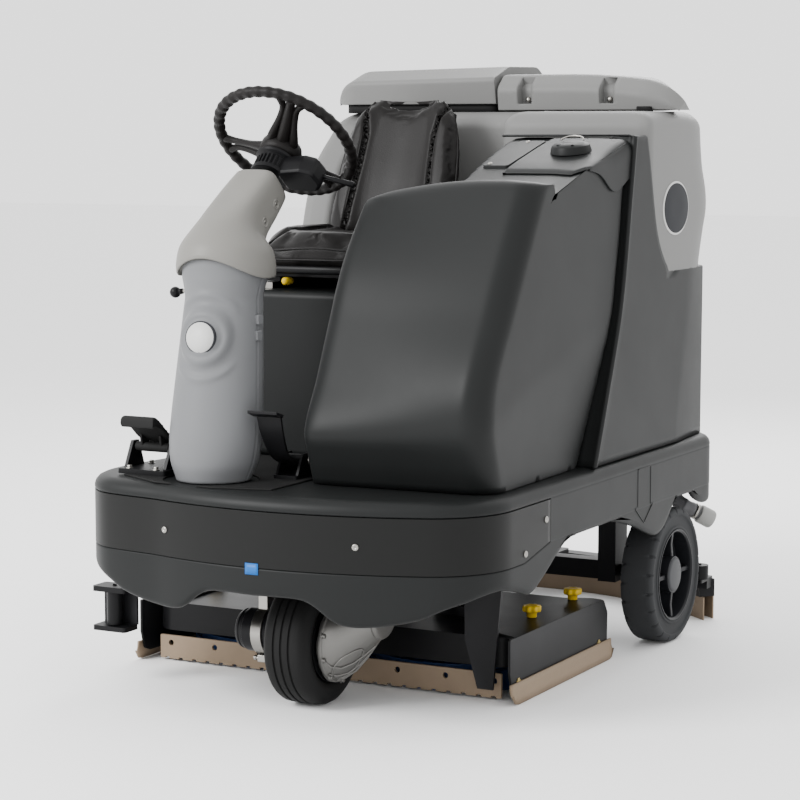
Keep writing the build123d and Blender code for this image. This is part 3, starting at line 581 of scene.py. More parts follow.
def hatch_cap():
    """The round screw cap on the hatch with its wire latch."""
    base = Vector((0.405, -0.100, deck_height(0.405, -0.100) + 0.009))
    up = Vector((0, -0.16, 1)).normalized()
    profile = ((0.0, 0.021), (0.022, 0.021), (0.038, 0.019), (0.046, 0.014), (0.049, 0.006), (0.051, -0.004),
               (0.0, -0.004))
    rings = turned(base, up, profile, steps=56)
    grips = []
    for k in range(6):
        a = 2 * math.pi * k / 6
        grips.append(pipe([base + up * 0.015 + Vector((math.cos(a), math.sin(a), -0.1)) * r for r in (0.012, 0.040)],
                          0.005, 8))
    cap = add_mesh("hatch_cap", *merge(rings, *grips))
    bevelled(cap, 0.001)
    place(cap, "hatch", DARK, "dark_plastic")
    hoop = [base + Vector((0.030 * math.cos(a), 0.018 * math.sin(a) + 0.004, 0.024 + 0.012 * math.sin(a)))
            for a in spread(0.2, math.pi - 0.2, 16)]
    wire = add_mesh("hatch_latch_wire", *pipe(hoop, 0.0022, 8))
    return place(wire, "hatch", ZINC, "bright_steel")


def hinge_plate():
    """The plate before the hatch, outlined by its seam, with two screws."""
    outline = rounded([(0.222, -0.215), (0.290, -0.215), (0.290, 0.010), (0.222, 0.010)], 0.008)
    rings = [[(x, y, deck_height(x, y) + rise) for x, y in outline] for rise in (-0.004, 0.006)]
    plate = bevelled(add_mesh("hinge_plate", *skin(rings)), 0.0016)
    place(plate, "chassis", DARK, "dark_plastic", "fill_hinge")
    for k, (x, y) in enumerate(((0.236, -0.200), (0.246, -0.004))):
        centre = (x, y, deck_height(x, y) + 0.005)
        screw = add_mesh(f"hinge_screw_{k}",
                         *turned(centre, (0, -0.2, 1),
                                 ((0, 0.004), (0.004, 0.0035), (0.006, 0.001), (0.006, -0.002)), 20))
        place(screw, "chassis", ZINC, "screw_steel")


# ---------------------------------------------------------------- rear body and tank

BOUND = ((0.978, 0.300), (0.989, 0.296), (1.005, 0.276), (1.048, 0.240), (1.105, 0.211), (1.264, 0.166),
         (1.324, 0.145))
SIDE_X = 0.5046
BODY_REAR = 0.650
SEAM_Z = 0.978


def rear_body():
    """The dark moulding behind the groove: a rib along it, the collar beside the tank and the rear wall."""
    rows = spread(POD_LOW, SEAM_Z, 26) + spread(SEAM_Z, 1.324, 22)[1:]
    bend = [(-0.002, -0.055), (0.001, -0.030), (0.001, -0.014), (0.000, -0.009), (0.0, -0.003), (-0.003, 0.003),
            (-0.0005, 0.0075), (0.004, 0.0095), (0.010, 0.0085), (0.016, 0.005), (0.022, 0.001), (0.030, 0.0)]
    rib = [(along + 0.010, out) for along, out in bend]
    lower, upper = [], []
    for z in rows:
        start, stop = follow(GROOVE, z), follow(BOUND, z) if z > SEAM_Z else 0.300
        line = [(SIDE_X + out, start + along - 0.006) for along, out in rib]
        line += [(SIDE_X, y) for y in spread(start + 0.034, stop, 16)[1:]]
        upper.append([(x, y, z) for x, y in line])
        if z <= SEAM_Z + 1e-6:
            fold = smooth((z - POD_LOW) / 0.43)
            first = lerp(0.375, 0.470, fold)
            corner = rounded([(SIDE_X, first), (SIDE_X - 0.018, 0.600), (0.430, BODY_REAR + 0.002),
                              (0.30, BODY_REAR)], [0, 0.05, 0.05, 0], 7)
            rear = [(SIDE_X, y) for y in spread(0.300, first, 5)[1:-1]] + corner
            rear += [(x, BODY_REAR) for x in spread(0.28, -0.40, 20)]
            rear += [(x, y) for x, y, _, _ in arc((-0.424, BODY_REAR - 0.08), 0.08, math.pi / 2, math.pi, 8)][1:]
            rear += [(-0.504, y) for y in spread(0.56, 0.152, 14)]
            lower.append([(x, y, z) for x, y in line + rear])
    shell_low = skin(lower, loop=False, caps=(False, False))
    shell_high = skin(upper[25:], loop=False, caps=(False, False))
    ring = lower[-1]
    lip = [[(x * 0.996, y * 0.998, SEAM_Z + 0.003) for x, y, z in ring[27:]],
           [(x * 0.97, y * 0.985, SEAM_Z + 0.003) for x, y, z in ring[27:]]]
    top = skin([ring[27:]] + lip, loop=False, caps=(False, False))
    edge = [row[-1] for row in upper[25:]]
    turn = skin([edge, [(x - 0.004, y + 0.002, z) for x, y, z in edge],
                 [(x - 0.02, y + 0.003, z) for x, y, z in edge]],
                loop=False, caps=(False, False))
    crest = upper[-1]
    collar = skin([crest, [(x - 0.006, y, z + 0.003) for x, y, z in crest],
                   [(0.15, y, z + 0.002) for x, y, z in crest]],
                  loop=False, caps=(False, False))
    body = add_mesh("rear_body_shell", *merge(shell_low, shell_high, top, turn, collar))
    modifier(body, "SOLIDIFY", thickness=0.003, offset=-1)
    return place(body, "chassis", DARK, "dark_plastic", "rear_body")


TANK_REAR = ((0.975, 0.690), (1.000, 0.694), (1.080, 0.722), (1.130, 0.742), (1.180, 0.738), (1.250, 0.708),
             (1.360, 0.688),
             (1.388, 0.684))
WING = ((0.975, 0.140), (1.080, 0.142), (1.245, 0.212), (1.340, 0.318), (1.388, 0.372))


def tank_outline(z, inset):
    rear = follow(TANK_REAR, z) - inset
    wing = follow(WING, z) + inset
    side = 0.5032 - inset
    front = 0.160 + inset
    points = [(side, front), (side, rear), (-side, rear), (-side, wing), (-0.418, wing + 0.015),
              (-0.412, 0.300 + inset),
              (0.050 + inset, 0.285 + inset), (0.100 + inset, front)]
    return rounded(points, [0.034, 0.245, 0.245, 0.030, 0.022, 0.03, 0.04, 0.035], 14)


def recovery_tank():
    """The light moulded tank: a shoulder on the left, a wing beside the seat, and a waisted rear."""
    shoulder = [(1.388 - 0.044 + 0.044 * math.sin(a), 0.044 * (1 - math.cos(a))) for a in spread(0, math.pi / 2, 9)]
    levels = [(z, 0) for z in spread(0.976, 1.34, 34)] + shoulder + [(1.388, 0.07)]
    rings = [[(x, y, z) for x, y in tank_outline(z, inset)] for z, inset in levels]
    tank = add_mesh("recovery_tank_shell", *skin(rings))
    return place(tank, "chassis", LIGHT, "light_plastic", "recovery_tank")


def lid_rings(stations):
    """Rings of a lid's cross-section; each station gives x and the profile's corners with their radii."""
    return [[(x, y, z) for y, z in rounded(points, radii, 6)] for x, points, radii in stations]


def end_ease(x, low, high, radius):
    """How far a lid's section draws in near its two ends."""
    near = max(0, (low + radius - x) / radius, (x - high + radius) / radius)
    return 1 - math.sqrt(max(0, 1 - min(1, near) ** 2))


def recovery_lid():
    stations = []
    xs = [-0.5 + 0.07 * (1 - math.cos(a)) for a in spread(0.12, math.pi / 2, 12)] + spread(-0.42, -0.03, 18)
    xs += [-0.016, -0.009, -0.006]
    for x in xs:
        left = end_ease(x, -0.5, 0.6, 0.072)
        right = end_ease(x, -1.6, -0.004, 0.014) * 0.25
        rise = 0.010 * (x + 0.5) / 0.5
        pull, drop = 0.05 * left + 0.012 * right, 0.070 * left + 0.012 * right
        points = [(0.338 + pull, 1.409), (0.324 + pull, 1.468 + rise - drop), (0.420 + pull, 1.500 + rise - drop),
                  (0.600 - pull, 1.503 + rise - drop), (0.704 - pull, 1.455 - drop * 0.6), (0.700 - pull, 1.409)]
        stations.append((x, points, [0.004, 0.014, 0.05, 0.06, 0.03, 0.004]))
    lid = add_mesh("recovery_lid_shell", *skin(lid_rings(stations)))
    modifier(lid, "WEIGHTED_NORMAL", keep_sharp=True)
    place(lid, "tank_lid", LIGHT, "light_plastic", "recovery_lid")
    gasket = slab(rounded([(-0.475, 0.352), (-0.012, 0.352), (-0.012, 0.680), (-0.475, 0.680)], 0.03), 2, 1.386,
                  1.412)
    seal = add_mesh("recovery_lid_seal", *gasket)
    return place(seal, "chassis", MAT, "mat_rubber")


SLOTS = (0.083, 0.316)


def vacuum_cover():
    """The right lid over the vacuum motor: two upright slots in front, and a drawn-in end."""
    xs = [0.003, 0.006, 0.012] + spread(0.02, 0.40,
                                        22) + [0.41 + 0.094 * math.sin(a) for a in spread(0, math.pi / 2 - 0.1, 16)]
    xs += [at + step for at in SLOTS for step in (-0.0186, -0.0180, -0.0165, 0.0165, 0.0180, 0.0186)]
    rings = []
    for x in sorted(xs):
        near, left = end_ease(x, -1, 0.507, 0.100), end_ease(x, 0.002, 2, 0.014) * 0.3
        crown = -0.30 * max(0, x - 0.19) ** 2
        front, drop = 0.326 + 0.050 * near + 0.008 * left, 0.060 * near + 0.010 * left
        rear = max(front + 0.075, 0.702 - 1.9 * max(0, x - 0.325))
        top = 1.487 + crown - drop
        points = [(front + 0.004, 1.392), (front - 0.004, 1.452 + crown - drop * 0.8), (front + 0.036, top),
                  (rear - min(0.09, (rear - front) * 0.45), top),
                  (rear, 1.446 + crown - drop * 0.6), (rear - 0.002, 1.392)]
        ring = rounded(points, [0.004, 0.03, 0.035, 0.05, 0.03, 0.004], 6)
        face = [tuple(Vector(ring[6]).lerp(Vector(ring[7]), k / 16)) for k in range(1, 16)]
        sunk = 0.026 if min(abs(x - at) for at in SLOTS) < 0.0181 else 0
        rings.append([(x, y + (sunk if y < 0.37 and 1.410 < z < 1.474 else 0), z) for y,
                      z in ring[:7] + face + ring[7:]])
    cover = add_mesh("vacuum_cover_shell", *skin(rings))
    modifier(cover, "WEIGHTED_NORMAL", keep_sharp=True)
    place(cover, "chassis", LIGHT, "light_plastic", "vacuum_cover")
    for k, x in enumerate(SLOTS):
        head = turned((x, 0.349, 1.420), (0, -1, 0),
                      ((0, 0.006), (0.005, 0.0055), (0.0075, 0.002), (0.0075, -0.004)), 24)
        place(add_mesh(f"vacuum_cover_screw_{k}", *head), "chassis", ZINC, "screw_steel")
    recess = slab(rounded([(0.402, 1.387), (0.440, 1.387), (0.440, 1.401), (0.402, 1.401)], 0.002), 1, 0.320, 0.340)
    return place(add_mesh("vacuum_cover_latch", *recess), "chassis", MAT, "mat_rubber")


def oval(centre, side, high, deep, levels):
    """A flat oval boss on the tank's side; levels are (scale, rise) pairs."""
    x, y, z = centre
    turn = [2 * math.pi * k / 72 for k in range(72)]
    return skin([[(x + side * rise, y + deep * scale * math.cos(a),
                   z + high * scale * math.sin(a)) for a in turn] for scale, rise in levels])


def tank_badges():
    """Plain oval badges: a dark face in a pale ring on each side of the tank."""
    for k, side in enumerate((1, -1)):
        centre = (side * 0.5032, 0.345, 1.141)
        ring = oval(centre, side, 0.069, 0.088, ((1.0, -0.004), (1.0, 0.0016), (0.985, 0.0022), (0.4, 0.0022)))
        disc = oval(centre, side, 0.064, 0.083, ((1.0, 0.0010), (1.0, 0.0030), (0.985, 0.0034), (0.4, 0.0036)))
        place(add_mesh(f"tank_badge_ring_{k}", *ring), "chassis", PALE, "badge", *(["badges"] if k == 0 else []))
        place(add_mesh(f"tank_badge_disc_{k}", *disc), "chassis", BADGE, "badge")


# ---------------------------------------------------------------- column and steering

COLUMN_X = -0.205
NECK = (-0.700, 1.030)
COLUMN_LEAN = 0.124
COLUMN_RADII = ((0.530, 0.087), (0.545, 0.092), (0.575, 0.103), (0.625, 0.109), (0.680, 0.108), (0.750, 0.104),
                (0.870, 0.0965),
                (0.935, 0.0925), (0.955, 0.0912), (0.975, 0.0945), (1.000, 0.1005))
BOSS_Z = 0.868
BOSS_TURN = math.radians(5)


def column_y(z):
    return NECK[0] - (NECK[1] - z) * COLUMN_LEAN


def column_covers():
    """The round column with the boss for its emblem and the parting seams at both sides."""
    rings = []
    heights = spread(0.532, 1.000, 96)
    for z in heights:
        radius = follow(COLUMN_RADII, z)
        ring = []
        for step in range(160):
            a = 2 * math.pi * step / 160
            around = math.asin(max(-1, min(1, math.cos(a)))) - BOSS_TURN if math.sin(a) < 0 else 9
            reach = math.hypot(around * radius, z - BOSS_Z) if around < 9 else 9
            out = 0.0135 * (1 - smooth((reach - 0.052) / 0.026))
            out -= 0.003 * math.exp(-(((reach - 0.044) / 0.004) ** 2))
            crescent = math.exp(-(((reach - 0.096) / 0.008) ** 2)) * smooth((abs(BOSS_Z - z) - 0.045) / 0.04)
            out += 0.0050 * crescent
            seam = min(abs(a), abs(a - math.pi), abs(a - 2 * math.pi))
            out -= 0.0022 * math.exp(-((seam / 0.018) ** 2))
            ring.append((COLUMN_X + (radius + out) * math.cos(a), column_y(z) + (radius + out) * math.sin(a), z))
        rings.append(ring)
    for a in spread(-0.29, 1.0, 14)[1:]:
        radius, z = 0.1045 * math.cos(a), NECK[1] + 0.1045 * math.sin(a)
        rings.append([(COLUMN_X + radius * math.cos(2 * math.pi * k / 160),
                       NECK[0] + radius * math.sin(2 * math.pi * k / 160), z)
                      for k in range(160)])
    column = add_mesh("column_shell", *skin(rings))
    place(column, "chassis", COLUMN, "column_grey", "column_front_cover", "column_rear_cover")
    turn = BOSS_TURN
    lean = Vector((math.sin(turn), -math.cos(turn), COLUMN_LEAN))
    reach = follow(COLUMN_RADII, BOSS_Z) + 0.0125
    centre = (COLUMN_X + reach * math.sin(turn), column_y(BOSS_Z) - reach * math.cos(turn), BOSS_Z)
    rim = turned(centre, lean, ((0.0, -0.010), (0.0385, -0.010), (0.0385, 0.0005), (0.0365, 0.0020), (0.0, 0.0020)),
                 64)
    place(add_mesh("column_emblem_rim", *rim), "chassis", BADGE, "badge")
    disc = turned(centre, lean, ((0.0, 0.0015), (0.0350, 0.0015), (0.0350, 0.0030), (0.0, 0.0036)), 64)
    place(add_mesh("column_emblem", *disc), "chassis", PALE, "badge")
    for k, z in enumerate((0.905, 0.868)):
        x = COLUMN_X + 0.0985
        tab = slab(rounded([(column_y(z) - 0.010, z - 0.011), (column_y(z) + 0.012, z - 0.011),
                            (column_y(z) + 0.012, z + 0.011),
                            (column_y(z) - 0.010, z + 0.011)], 0.003), 0, x - 0.01, x + 0.004)
        place(bevelled(add_mesh(f"column_clip_{k}", *tab), 0.0015), "chassis", COLUMN, "column_grey")
    return column


AXIS_TILT = math.radians(44)
AXIS = Vector((0, math.sin(AXIS_TILT), math.cos(AXIS_TILT)))
WHEEL_CENTRE = Vector((COLUMN_X, -0.427, 1.312))
HEAD_PATH = ((0.00, -0.700, 1.004, 0.1155, 0.1175, 0), (0.12, -0.700, 1.030, 0.1165, 0.1165, 0),
             (0.24, -0.697, 1.066, 0.109, 0.110, 6),
             (0.33, -0.686, 1.092, 0.090, 0.095, 16), (0.42, -0.668, 1.110, 0.0715, 0.079, 28),
             (0.54, -0.640, 1.134, 0.0610, 0.066, 38),
             (0.75, -0.592, 1.170, 0.0585, 0.060, 42), (0.92, -0.552, 1.200, 0.0560, 0.055, 44),
             (1.00, -0.532, 1.216, 0.0530, 0.052, 44))


def head_cover():
    """The tilting head: a dome over the ball with a wavy lower edge, drawn up into a squared neck."""
    tracks = [[(row[0], row[k]) for row in HEAD_PATH] for k in range(1, 6)]
    levels = spread(0, 0.965, 62)
    steps = 120

    def ring_at(s, inset=0.0, wave=1.0):
        y, z, wide, deep, tilt = (follow(track, s) for track in tracks)
        tilt = math.radians(tilt)
        square = lerp(2.0, 4.6, smooth((s - 0.32) / 0.30))
        ring = []
        for k in range(steps):
            a = 2 * math.pi * k / steps
            c, d = math.cos(a), math.sin(a)
            reach = (abs(c) ** square + abs(d) ** square) ** (-1 / square)
            u, v = (wide - inset) * reach * c, (deep - inset) * reach * d
            near = math.cos(a + math.radians(87))
            lift = wave * (1 - smooth(s / 0.30)) * (0.048 * max(0, near) ** 2.2 - 0.004)
            ring.append((COLUMN_X + u, y + v * math.cos(tilt), z + lift - v * math.sin(tilt)))
        return ring

    rings = [ring_at(0.02, 0.006), ring_at(0.0, 0.0045), ring_at(0.0, 0.0015)]
    rings += [ring_at(s) for s in levels[1:]]
    rings += [ring_at(0.985, 0.0025), ring_at(0.997, 0.008), ring_at(1.0, 0.016)]
    head = add_mesh("head_cover_shell", *skin(rings))
    place(head, "column_head", LIGHT_HEAD, "light_plastic", "column_head_cover")
    for k, s in enumerate((0.56, 0.80)):
        y, z, wide, _, tilt = (follow(track, s) for track in tracks)
        centre = (COLUMN_X + wide - 0.004, y + 0.012, z - 0.012)
        well = turned(centre, (1, 0, 0), ((0.0, 0.0), (0.009, 0.0), (0.0095, 0.006), (0.012, 0.0065),
                                          (0.0135, 0.003), (0.0135, -0.01)), 32)
        place(add_mesh(f"head_screw_well_{k}", *well), "column_head", LIGHT_HEAD, "light_plastic")
        screw = turned(centre, (1, 0, 0), ((0, 0.005), (0.004, 0.0045), (0.006, 0.002), (0.006, -0.002)), 20)
        place(add_mesh(f"head_screw_{k}", *screw), "column_head", ZINC, "screw_steel")
    return head


def on_axis(distance):
    return WHEEL_CENTRE - AXIS * distance


def collar():
    """The black steering collar: a slotted ring over a smooth sleeve, and the flared cup above it."""
    sleeve = turned(on_axis(0.118), AXIS, ((0.0, 0), (0.046, 0.0), (0.047, 0.010), (0.041, 0.012), (0.041, 0.046),
                                           (0.049, 0.050),
                                           (0.051, 0.056), (0.0, 0.058)), 64)
    ribs = []
    for k in range(26):
        a = 2 * math.pi * k / 26
        x, y = axes_of(AXIS)
        out = x * math.cos(a) + y * math.sin(a)
        ribs.append(pipe([on_axis(0.108) + out * 0.0425, on_axis(0.078) + out * 0.0425], 0.0032, 6))
    body = add_mesh("collar_ribs", *merge(sleeve, *ribs))
    bevelled(body, 0.0008, segments=2)
    return place(body, "column_head", BLACK, "black_plastic", "column_collar")


SPOKES = (-61, 59, 179)
RIM_R, GRIP_R = 0.172, 0.0135


def on_wheel(a, radius, up=0.0):
    """A point of the wheel's plane by its angle and radius, raised along the axis."""
    across = Vector((1, 0, 0))
    down = Vector((0, math.cos(AXIS_TILT), -math.sin(AXIS_TILT)))
    return WHEEL_CENTRE + (across * math.cos(a) + down * math.sin(a)) * radius + AXIS * up


def steering_wheel():
    """The rim with its finger grips, the wide split spoke, the two arms and the shield-shaped hub."""
    rings = []
    for k in range(240):
        a = 2 * math.pi * k / 240
        grip = GRIP_R + 0.0011 * math.cos(40 * a) - 0.0004
        ring = []
        for j in range(20):
            b = 2 * math.pi * j / 20
            inner = 1 + 0.18 * max(0, -math.cos(b))
            ring.append(tuple(on_wheel(a, RIM_R + grip * inner * math.cos(b), grip * math.sin(b))))
        rings.append(ring)
    rings.append(rings[0])
    parts = [skin(rings, caps=(False, False))]
    for spoke, width in zip(SPOKES, (0.030, 0.020, 0.020)):
        a = math.radians(spoke)
        for side in (-1, 1):
            path, radii = [], []
            for u in spread(0, 1, 12):
                radius = lerp(0.030, RIM_R - 0.004, u)
                gap = lerp(width * 0.95, width * 0.55, smooth(u * 1.4)) + width * 0.45 * smooth((u - 0.75) / 0.25)
                off = math.atan2(side * gap, radius)
                path.append(on_wheel(a + off, math.hypot(radius, gap), lerp(-0.030, -0.003, smooth(u * 1.1))))
                radii.append(lerp(0.0125, 0.0085, smooth(u * 2)) + 0.003 * smooth((u - 0.8) / 0.2))
            parts.append(pipe(path, radii, 12))
        if width > 0.025:
            path = [on_wheel(a, lerp(0.03, RIM_R - 0.002, u),
                             lerp(-0.028, -0.004, smooth(u * 1.1))) for u in spread(0, 1, 12)]
            parts.append(pipe(path, [lerp(0.018, 0.011, u) for u in spread(0, 1, 12)], 12))
    hub = turned(WHEEL_CENTRE - AXIS * 0.060, AXIS,
                 ((0.0, 0.0), (0.044, 0.0), (0.050, 0.012), (0.053, 0.030), (0.050, 0.046),
                                                     (0.040, 0.052), (0.0, 0.053)), 64)
    wheel = add_mesh("steering_wheel_rim", *merge(*parts, hub))
    modifier(wheel, "SUBSURF", levels=1, render_levels=1)
    place(wheel, "steering", GRIP, "black_plastic", "steering_wheel")
    cap = turned(WHEEL_CENTRE - AXIS * 0.010, AXIS,
                 ((0.0, 0.014), (0.020, 0.0135), (0.033, 0.010), (0.037, 0.004), (0.037, -0.004), (0.0, -0.004)), 64)
    shaft = turned(on_axis(0.200), AXIS, ((0.0, 0), (0.012, 0), (0.012, 0.185), (0.0, 0.185)), 32)
    return place(add_mesh("steering_hub_cap", *merge(cap, shaft)), "steering", BLACK, "black_plastic", "steering_hub")


def control_pod():
    """The switch housing right of the hub, with its lever."""
    outline = rounded([(-0.060, -0.034), (0.010, -0.042), (0.044, -0.030), (0.052, 0.012), (0.034, 0.036),
                       (-0.050, 0.030)], 0.014, 5)
    x, y = Vector((1, 0, 0)), Vector((0, math.cos(AXIS_TILT), -math.sin(AXIS_TILT)))
    centre = Vector((-0.120, -0.480, 1.238))
    rings = []
    for up, scale in ((-0.030, 0.86), (-0.024, 0.97), (0.0, 1.0), (0.018, 0.96), (0.026, 0.84)):
        rings.append([tuple(centre + x * a * scale + y * b * scale + AXIS * up) for a, b in outline])
    body = bevelled(add_mesh("control_pod_housing", *skin(rings)), 0.002)
    place(body, "column_head", BLACK, "black_plastic", "control_pod")
    stalk = pipe([centre + x * 0.03 + AXIS * 0.0, centre + x * 0.062 + y * 0.012 - AXIS * 0.004,
                  centre + x * 0.125 + y * 0.03 - AXIS * 0.008],
                 [0.0055, 0.0055, 0.0075], 14)
    return place(add_mesh("control_stalk", *stalk), "column_head", BLACK, "black_plastic")


def tilt_lever():
    grip = Vector((-0.344, -0.704, 0.960))
    foot = Vector((COLUMN_X - 0.090, -0.708, 0.968))
    along = (foot - grip).normalized()
    ball = turned(grip, along, [(0.0135 * math.sin(a), -0.0135 * math.cos(a)) for a in spread(0, math.pi, 16)], 28)
    neck = turned(grip + along * 0.010, along, ((0.0, 0), (0.0075, 0.0), (0.0065, 0.012), (0.0, 0.012)), 24)
    place(add_mesh("tilt_lever_ball", *merge(ball, neck)), "tilt_lock", BLACK, "black_plastic", "tilt_lever")
    place(add_mesh("tilt_lever_rod", *pipe([grip + along * 0.01, foot], 0.0042, 16)), "tilt_lock", ZINC,
          "bright_steel")


# ---------------------------------------------------------------- seat

SEAT_X = -0.190
BACK_FRONT = ((1.005, 0.060), (1.100, 0.066), (1.200, 0.096), (1.300, 0.133), (1.432, 0.182))
BACK_REAR = ((1.005, 0.108), (1.100, 0.126), (1.200, 0.150), (1.300, 0.176), (1.432, 0.206))
SEAT_LOW = 0.988


def inflate(obj, cap, pressure=4.0, size=0.006):
    """Puffs a padded shape up by a short cloth simulation; no point moves further than cap."""
    modifier(obj, "REMESH", mode="VOXEL", voxel_size=size)
    graph = bpy.context.evaluated_depsgraph_get()
    mesh = bpy.data.meshes.new_from_object(obj.evaluated_get(graph))
    obj.modifiers.clear()
    obj.data = mesh
    start = [v.co.copy() for v in mesh.vertices]
    cloth = obj.modifiers.new("Cloth", "CLOTH")
    cloth.settings.use_pressure = True
    cloth.settings.uniform_pressure_force = pressure
    cloth.settings.effector_weights.gravity = 0
    cloth.settings.quality = 5
    for frame_number in range(1, 21):
        bpy.context.scene.frame_set(frame_number)
    graph = bpy.context.evaluated_depsgraph_get()
    puffed = [v.co.copy() for v in obj.evaluated_get(graph).data.vertices]
    obj.modifiers.clear()
    bpy.context.scene.frame_set(1)
    for vertex, a, b in zip(mesh.vertices, start, puffed):
        move = b - a
        if move.length > cap:
            move = move.normalized() * cap
        vertex.co = a + move
    mesh.polygons.foreach_set("use_smooth", [True] * len(mesh.polygons))
    modifier(obj, "SUBSURF", levels=1, render_levels=1)
    graph = bpy.context.evaluated_depsgraph_get()
    fine = bpy.data.meshes.new_from_object(obj.evaluated_get(graph))
    obj.modifiers.clear()
    obj.data = fine
    return obj


def sew(obj, channels, depth, width, axis):
    """Draws a piece in along channels; each is a list of points in the two directions square to axis."""
    keep = [k for k in range(3) if k != axis]
    for vertex in obj.data.vertices:
        if (-vertex.normal[axis] if axis == 1 else vertex.normal[axis]) < 0.2:
            continue
        at = Vector((vertex.co[keep[0]] - (MID if keep[0] == 0 else 0), vertex.co[keep[1]]))
        reach = 9.0
        for line in channels:
            for a, b in zip(line, line[1:]):
                a, b = Vector(a), Vector(b)
                share = max(0, min(1, (at - a).dot(b - a) / (b - a).length_squared))
                reach = min(reach, (at - a - (b - a) * share).length)
        if reach < width * 3:
            vertex.co -= vertex.normal * depth * math.exp(-((reach / width) ** 2))


def on_surface(obj, points, axis, lift=0.0):
    """Drops 2-D points onto a piece along one axis, from the front (-Y) or from above (+Z)."""
    made = []
    graph = bpy.context.evaluated_depsgraph_get()
    for a, b in points:
        origin = Vector((a + MID, -1.2, b)) if axis == 1 else Vector((a + MID, b, 2.0))
        down = Vector((0, 1, 0)) if axis == 1 else Vector((0, 0, -1))
        hit, where, _, _ = obj.evaluated_get(graph).ray_cast(origin, down)
        if hit:
            made.append((where.x - MID, where.y - down.y * lift, where.z - down.z * lift))
    return made


def eased(path, rounds=12):
    """A path with its small steps averaged out."""
    for _ in range(rounds):
        path = [path[0]] + [tuple((p + 2 * q + r) / 4 for p, q, r in zip(*near)) for near in zip(path, path[1:],
                path[2:])] + [path[-1]]
    return path


def bolster_line(side):
    """The curved seam between the back's middle and one side bolster, as (x, z) points."""
    points = ((0.128, 1.418), (0.108, 1.375), (0.100, 1.330), (0.103, 1.260), (0.110, 1.180), (0.118, 1.110),
              (0.130, 1.062),
              (0.150, 1.050), (0.176, 1.052))
    line = [points[0]]
    for a, b in zip(points, points[1:]):
        line += [(lerp(a[0], b[0], u), lerp(a[1], b[1], u)) for u in (0.25, 0.5, 0.75, 1)]
    return [(SEAT_X + side * x, z) for x, z in line]


def back_width(z):
    return follow(((1.000, 0.168), (1.040, 0.184), (1.120, 0.192), (1.250, 0.188), (1.340, 0.172), (1.400, 0.146),
                   (1.432, 0.104)), z)


def seat_back():
    """The padded back: a sunk middle between two bolsters, sewn along curved channels."""
    rings = []
    for z in spread(1.004, 1.430, 46):
        wide = back_width(z) - 0.004
        ease = min(1, (z - 1.000) / 0.03, (1.436 - z) / 0.035)
        thin = math.sqrt(max(0.05, 1 - (1 - max(0, ease)) ** 2))
        front, rear = follow(BACK_FRONT, z) + 0.010, follow(BACK_REAR, z) - 0.004
        middle = (front + rear) / 2
        ring = []
        for k in range(72):
            a = 2 * math.pi * k / 72
            c, d = math.cos(a), math.sin(a)
            reach = (abs(c) ** 3.6 + abs(d) ** 3.6) ** (-1 / 3.6)
            x = wide * reach * c
            y = middle + (rear - front) / 2 * thin * reach * d
            if d < 0:
                bolster = smooth((abs(x) - 0.075) / 0.045) * smooth((z - 1.03) / 0.06) * smooth((1.43 - z) / 0.06)
                y -= 0.012 * bolster - 0.010 * (1 - smooth(abs(x) / 0.12)) * smooth((z - 1.02) / 0.08)
            ring.append((SEAT_X + x, y, z))
        rings.append(ring)
    back = add_mesh("seat_back_pad", *skin(rings))
    inflate(back, 0.014)
    lines = [bolster_line(1), bolster_line(-1)]
    sew(back, lines, 0.010, 0.0065, 1)
    place(back, "seat", VINYL, "seat_vinyl", "seat_back")
    for k, line in enumerate(lines):
        outside = 1 if k == 0 else -1
        beside = [(x + outside * 0.0085, z) for x, z in line]
        path = on_surface(back, beside[1:-1], 1, 0.0006)
        place(add_mesh(f"seat_back_piping_{k}", *pipe(eased(path), 0.0028, 8)), "seat", VINYL, "seat_vinyl")
    rim = []
    for z in spread(1.03, 1.428, 30):
        rim.append((back_width(z) * 0.985, z))
    for k, side in enumerate((1, -1)):
        edge = [(SEAT_X + side * x, follow(BACK_FRONT, z) + 0.016, z) for x, z in rim]
        path = []
        for p in edge:
            q = Vector((p[0] + MID, p[1], p[2]))
            _, where, normal, _ = back.closest_point_on_mesh(q)
            where = where + normal * 0.0012
            path.append((where.x - MID, where.y, where.z))
        place(add_mesh(f"seat_back_welt_{k}", *pipe(eased(path), 0.0032, 8)), "seat", VINYL, "seat_vinyl")
    return back


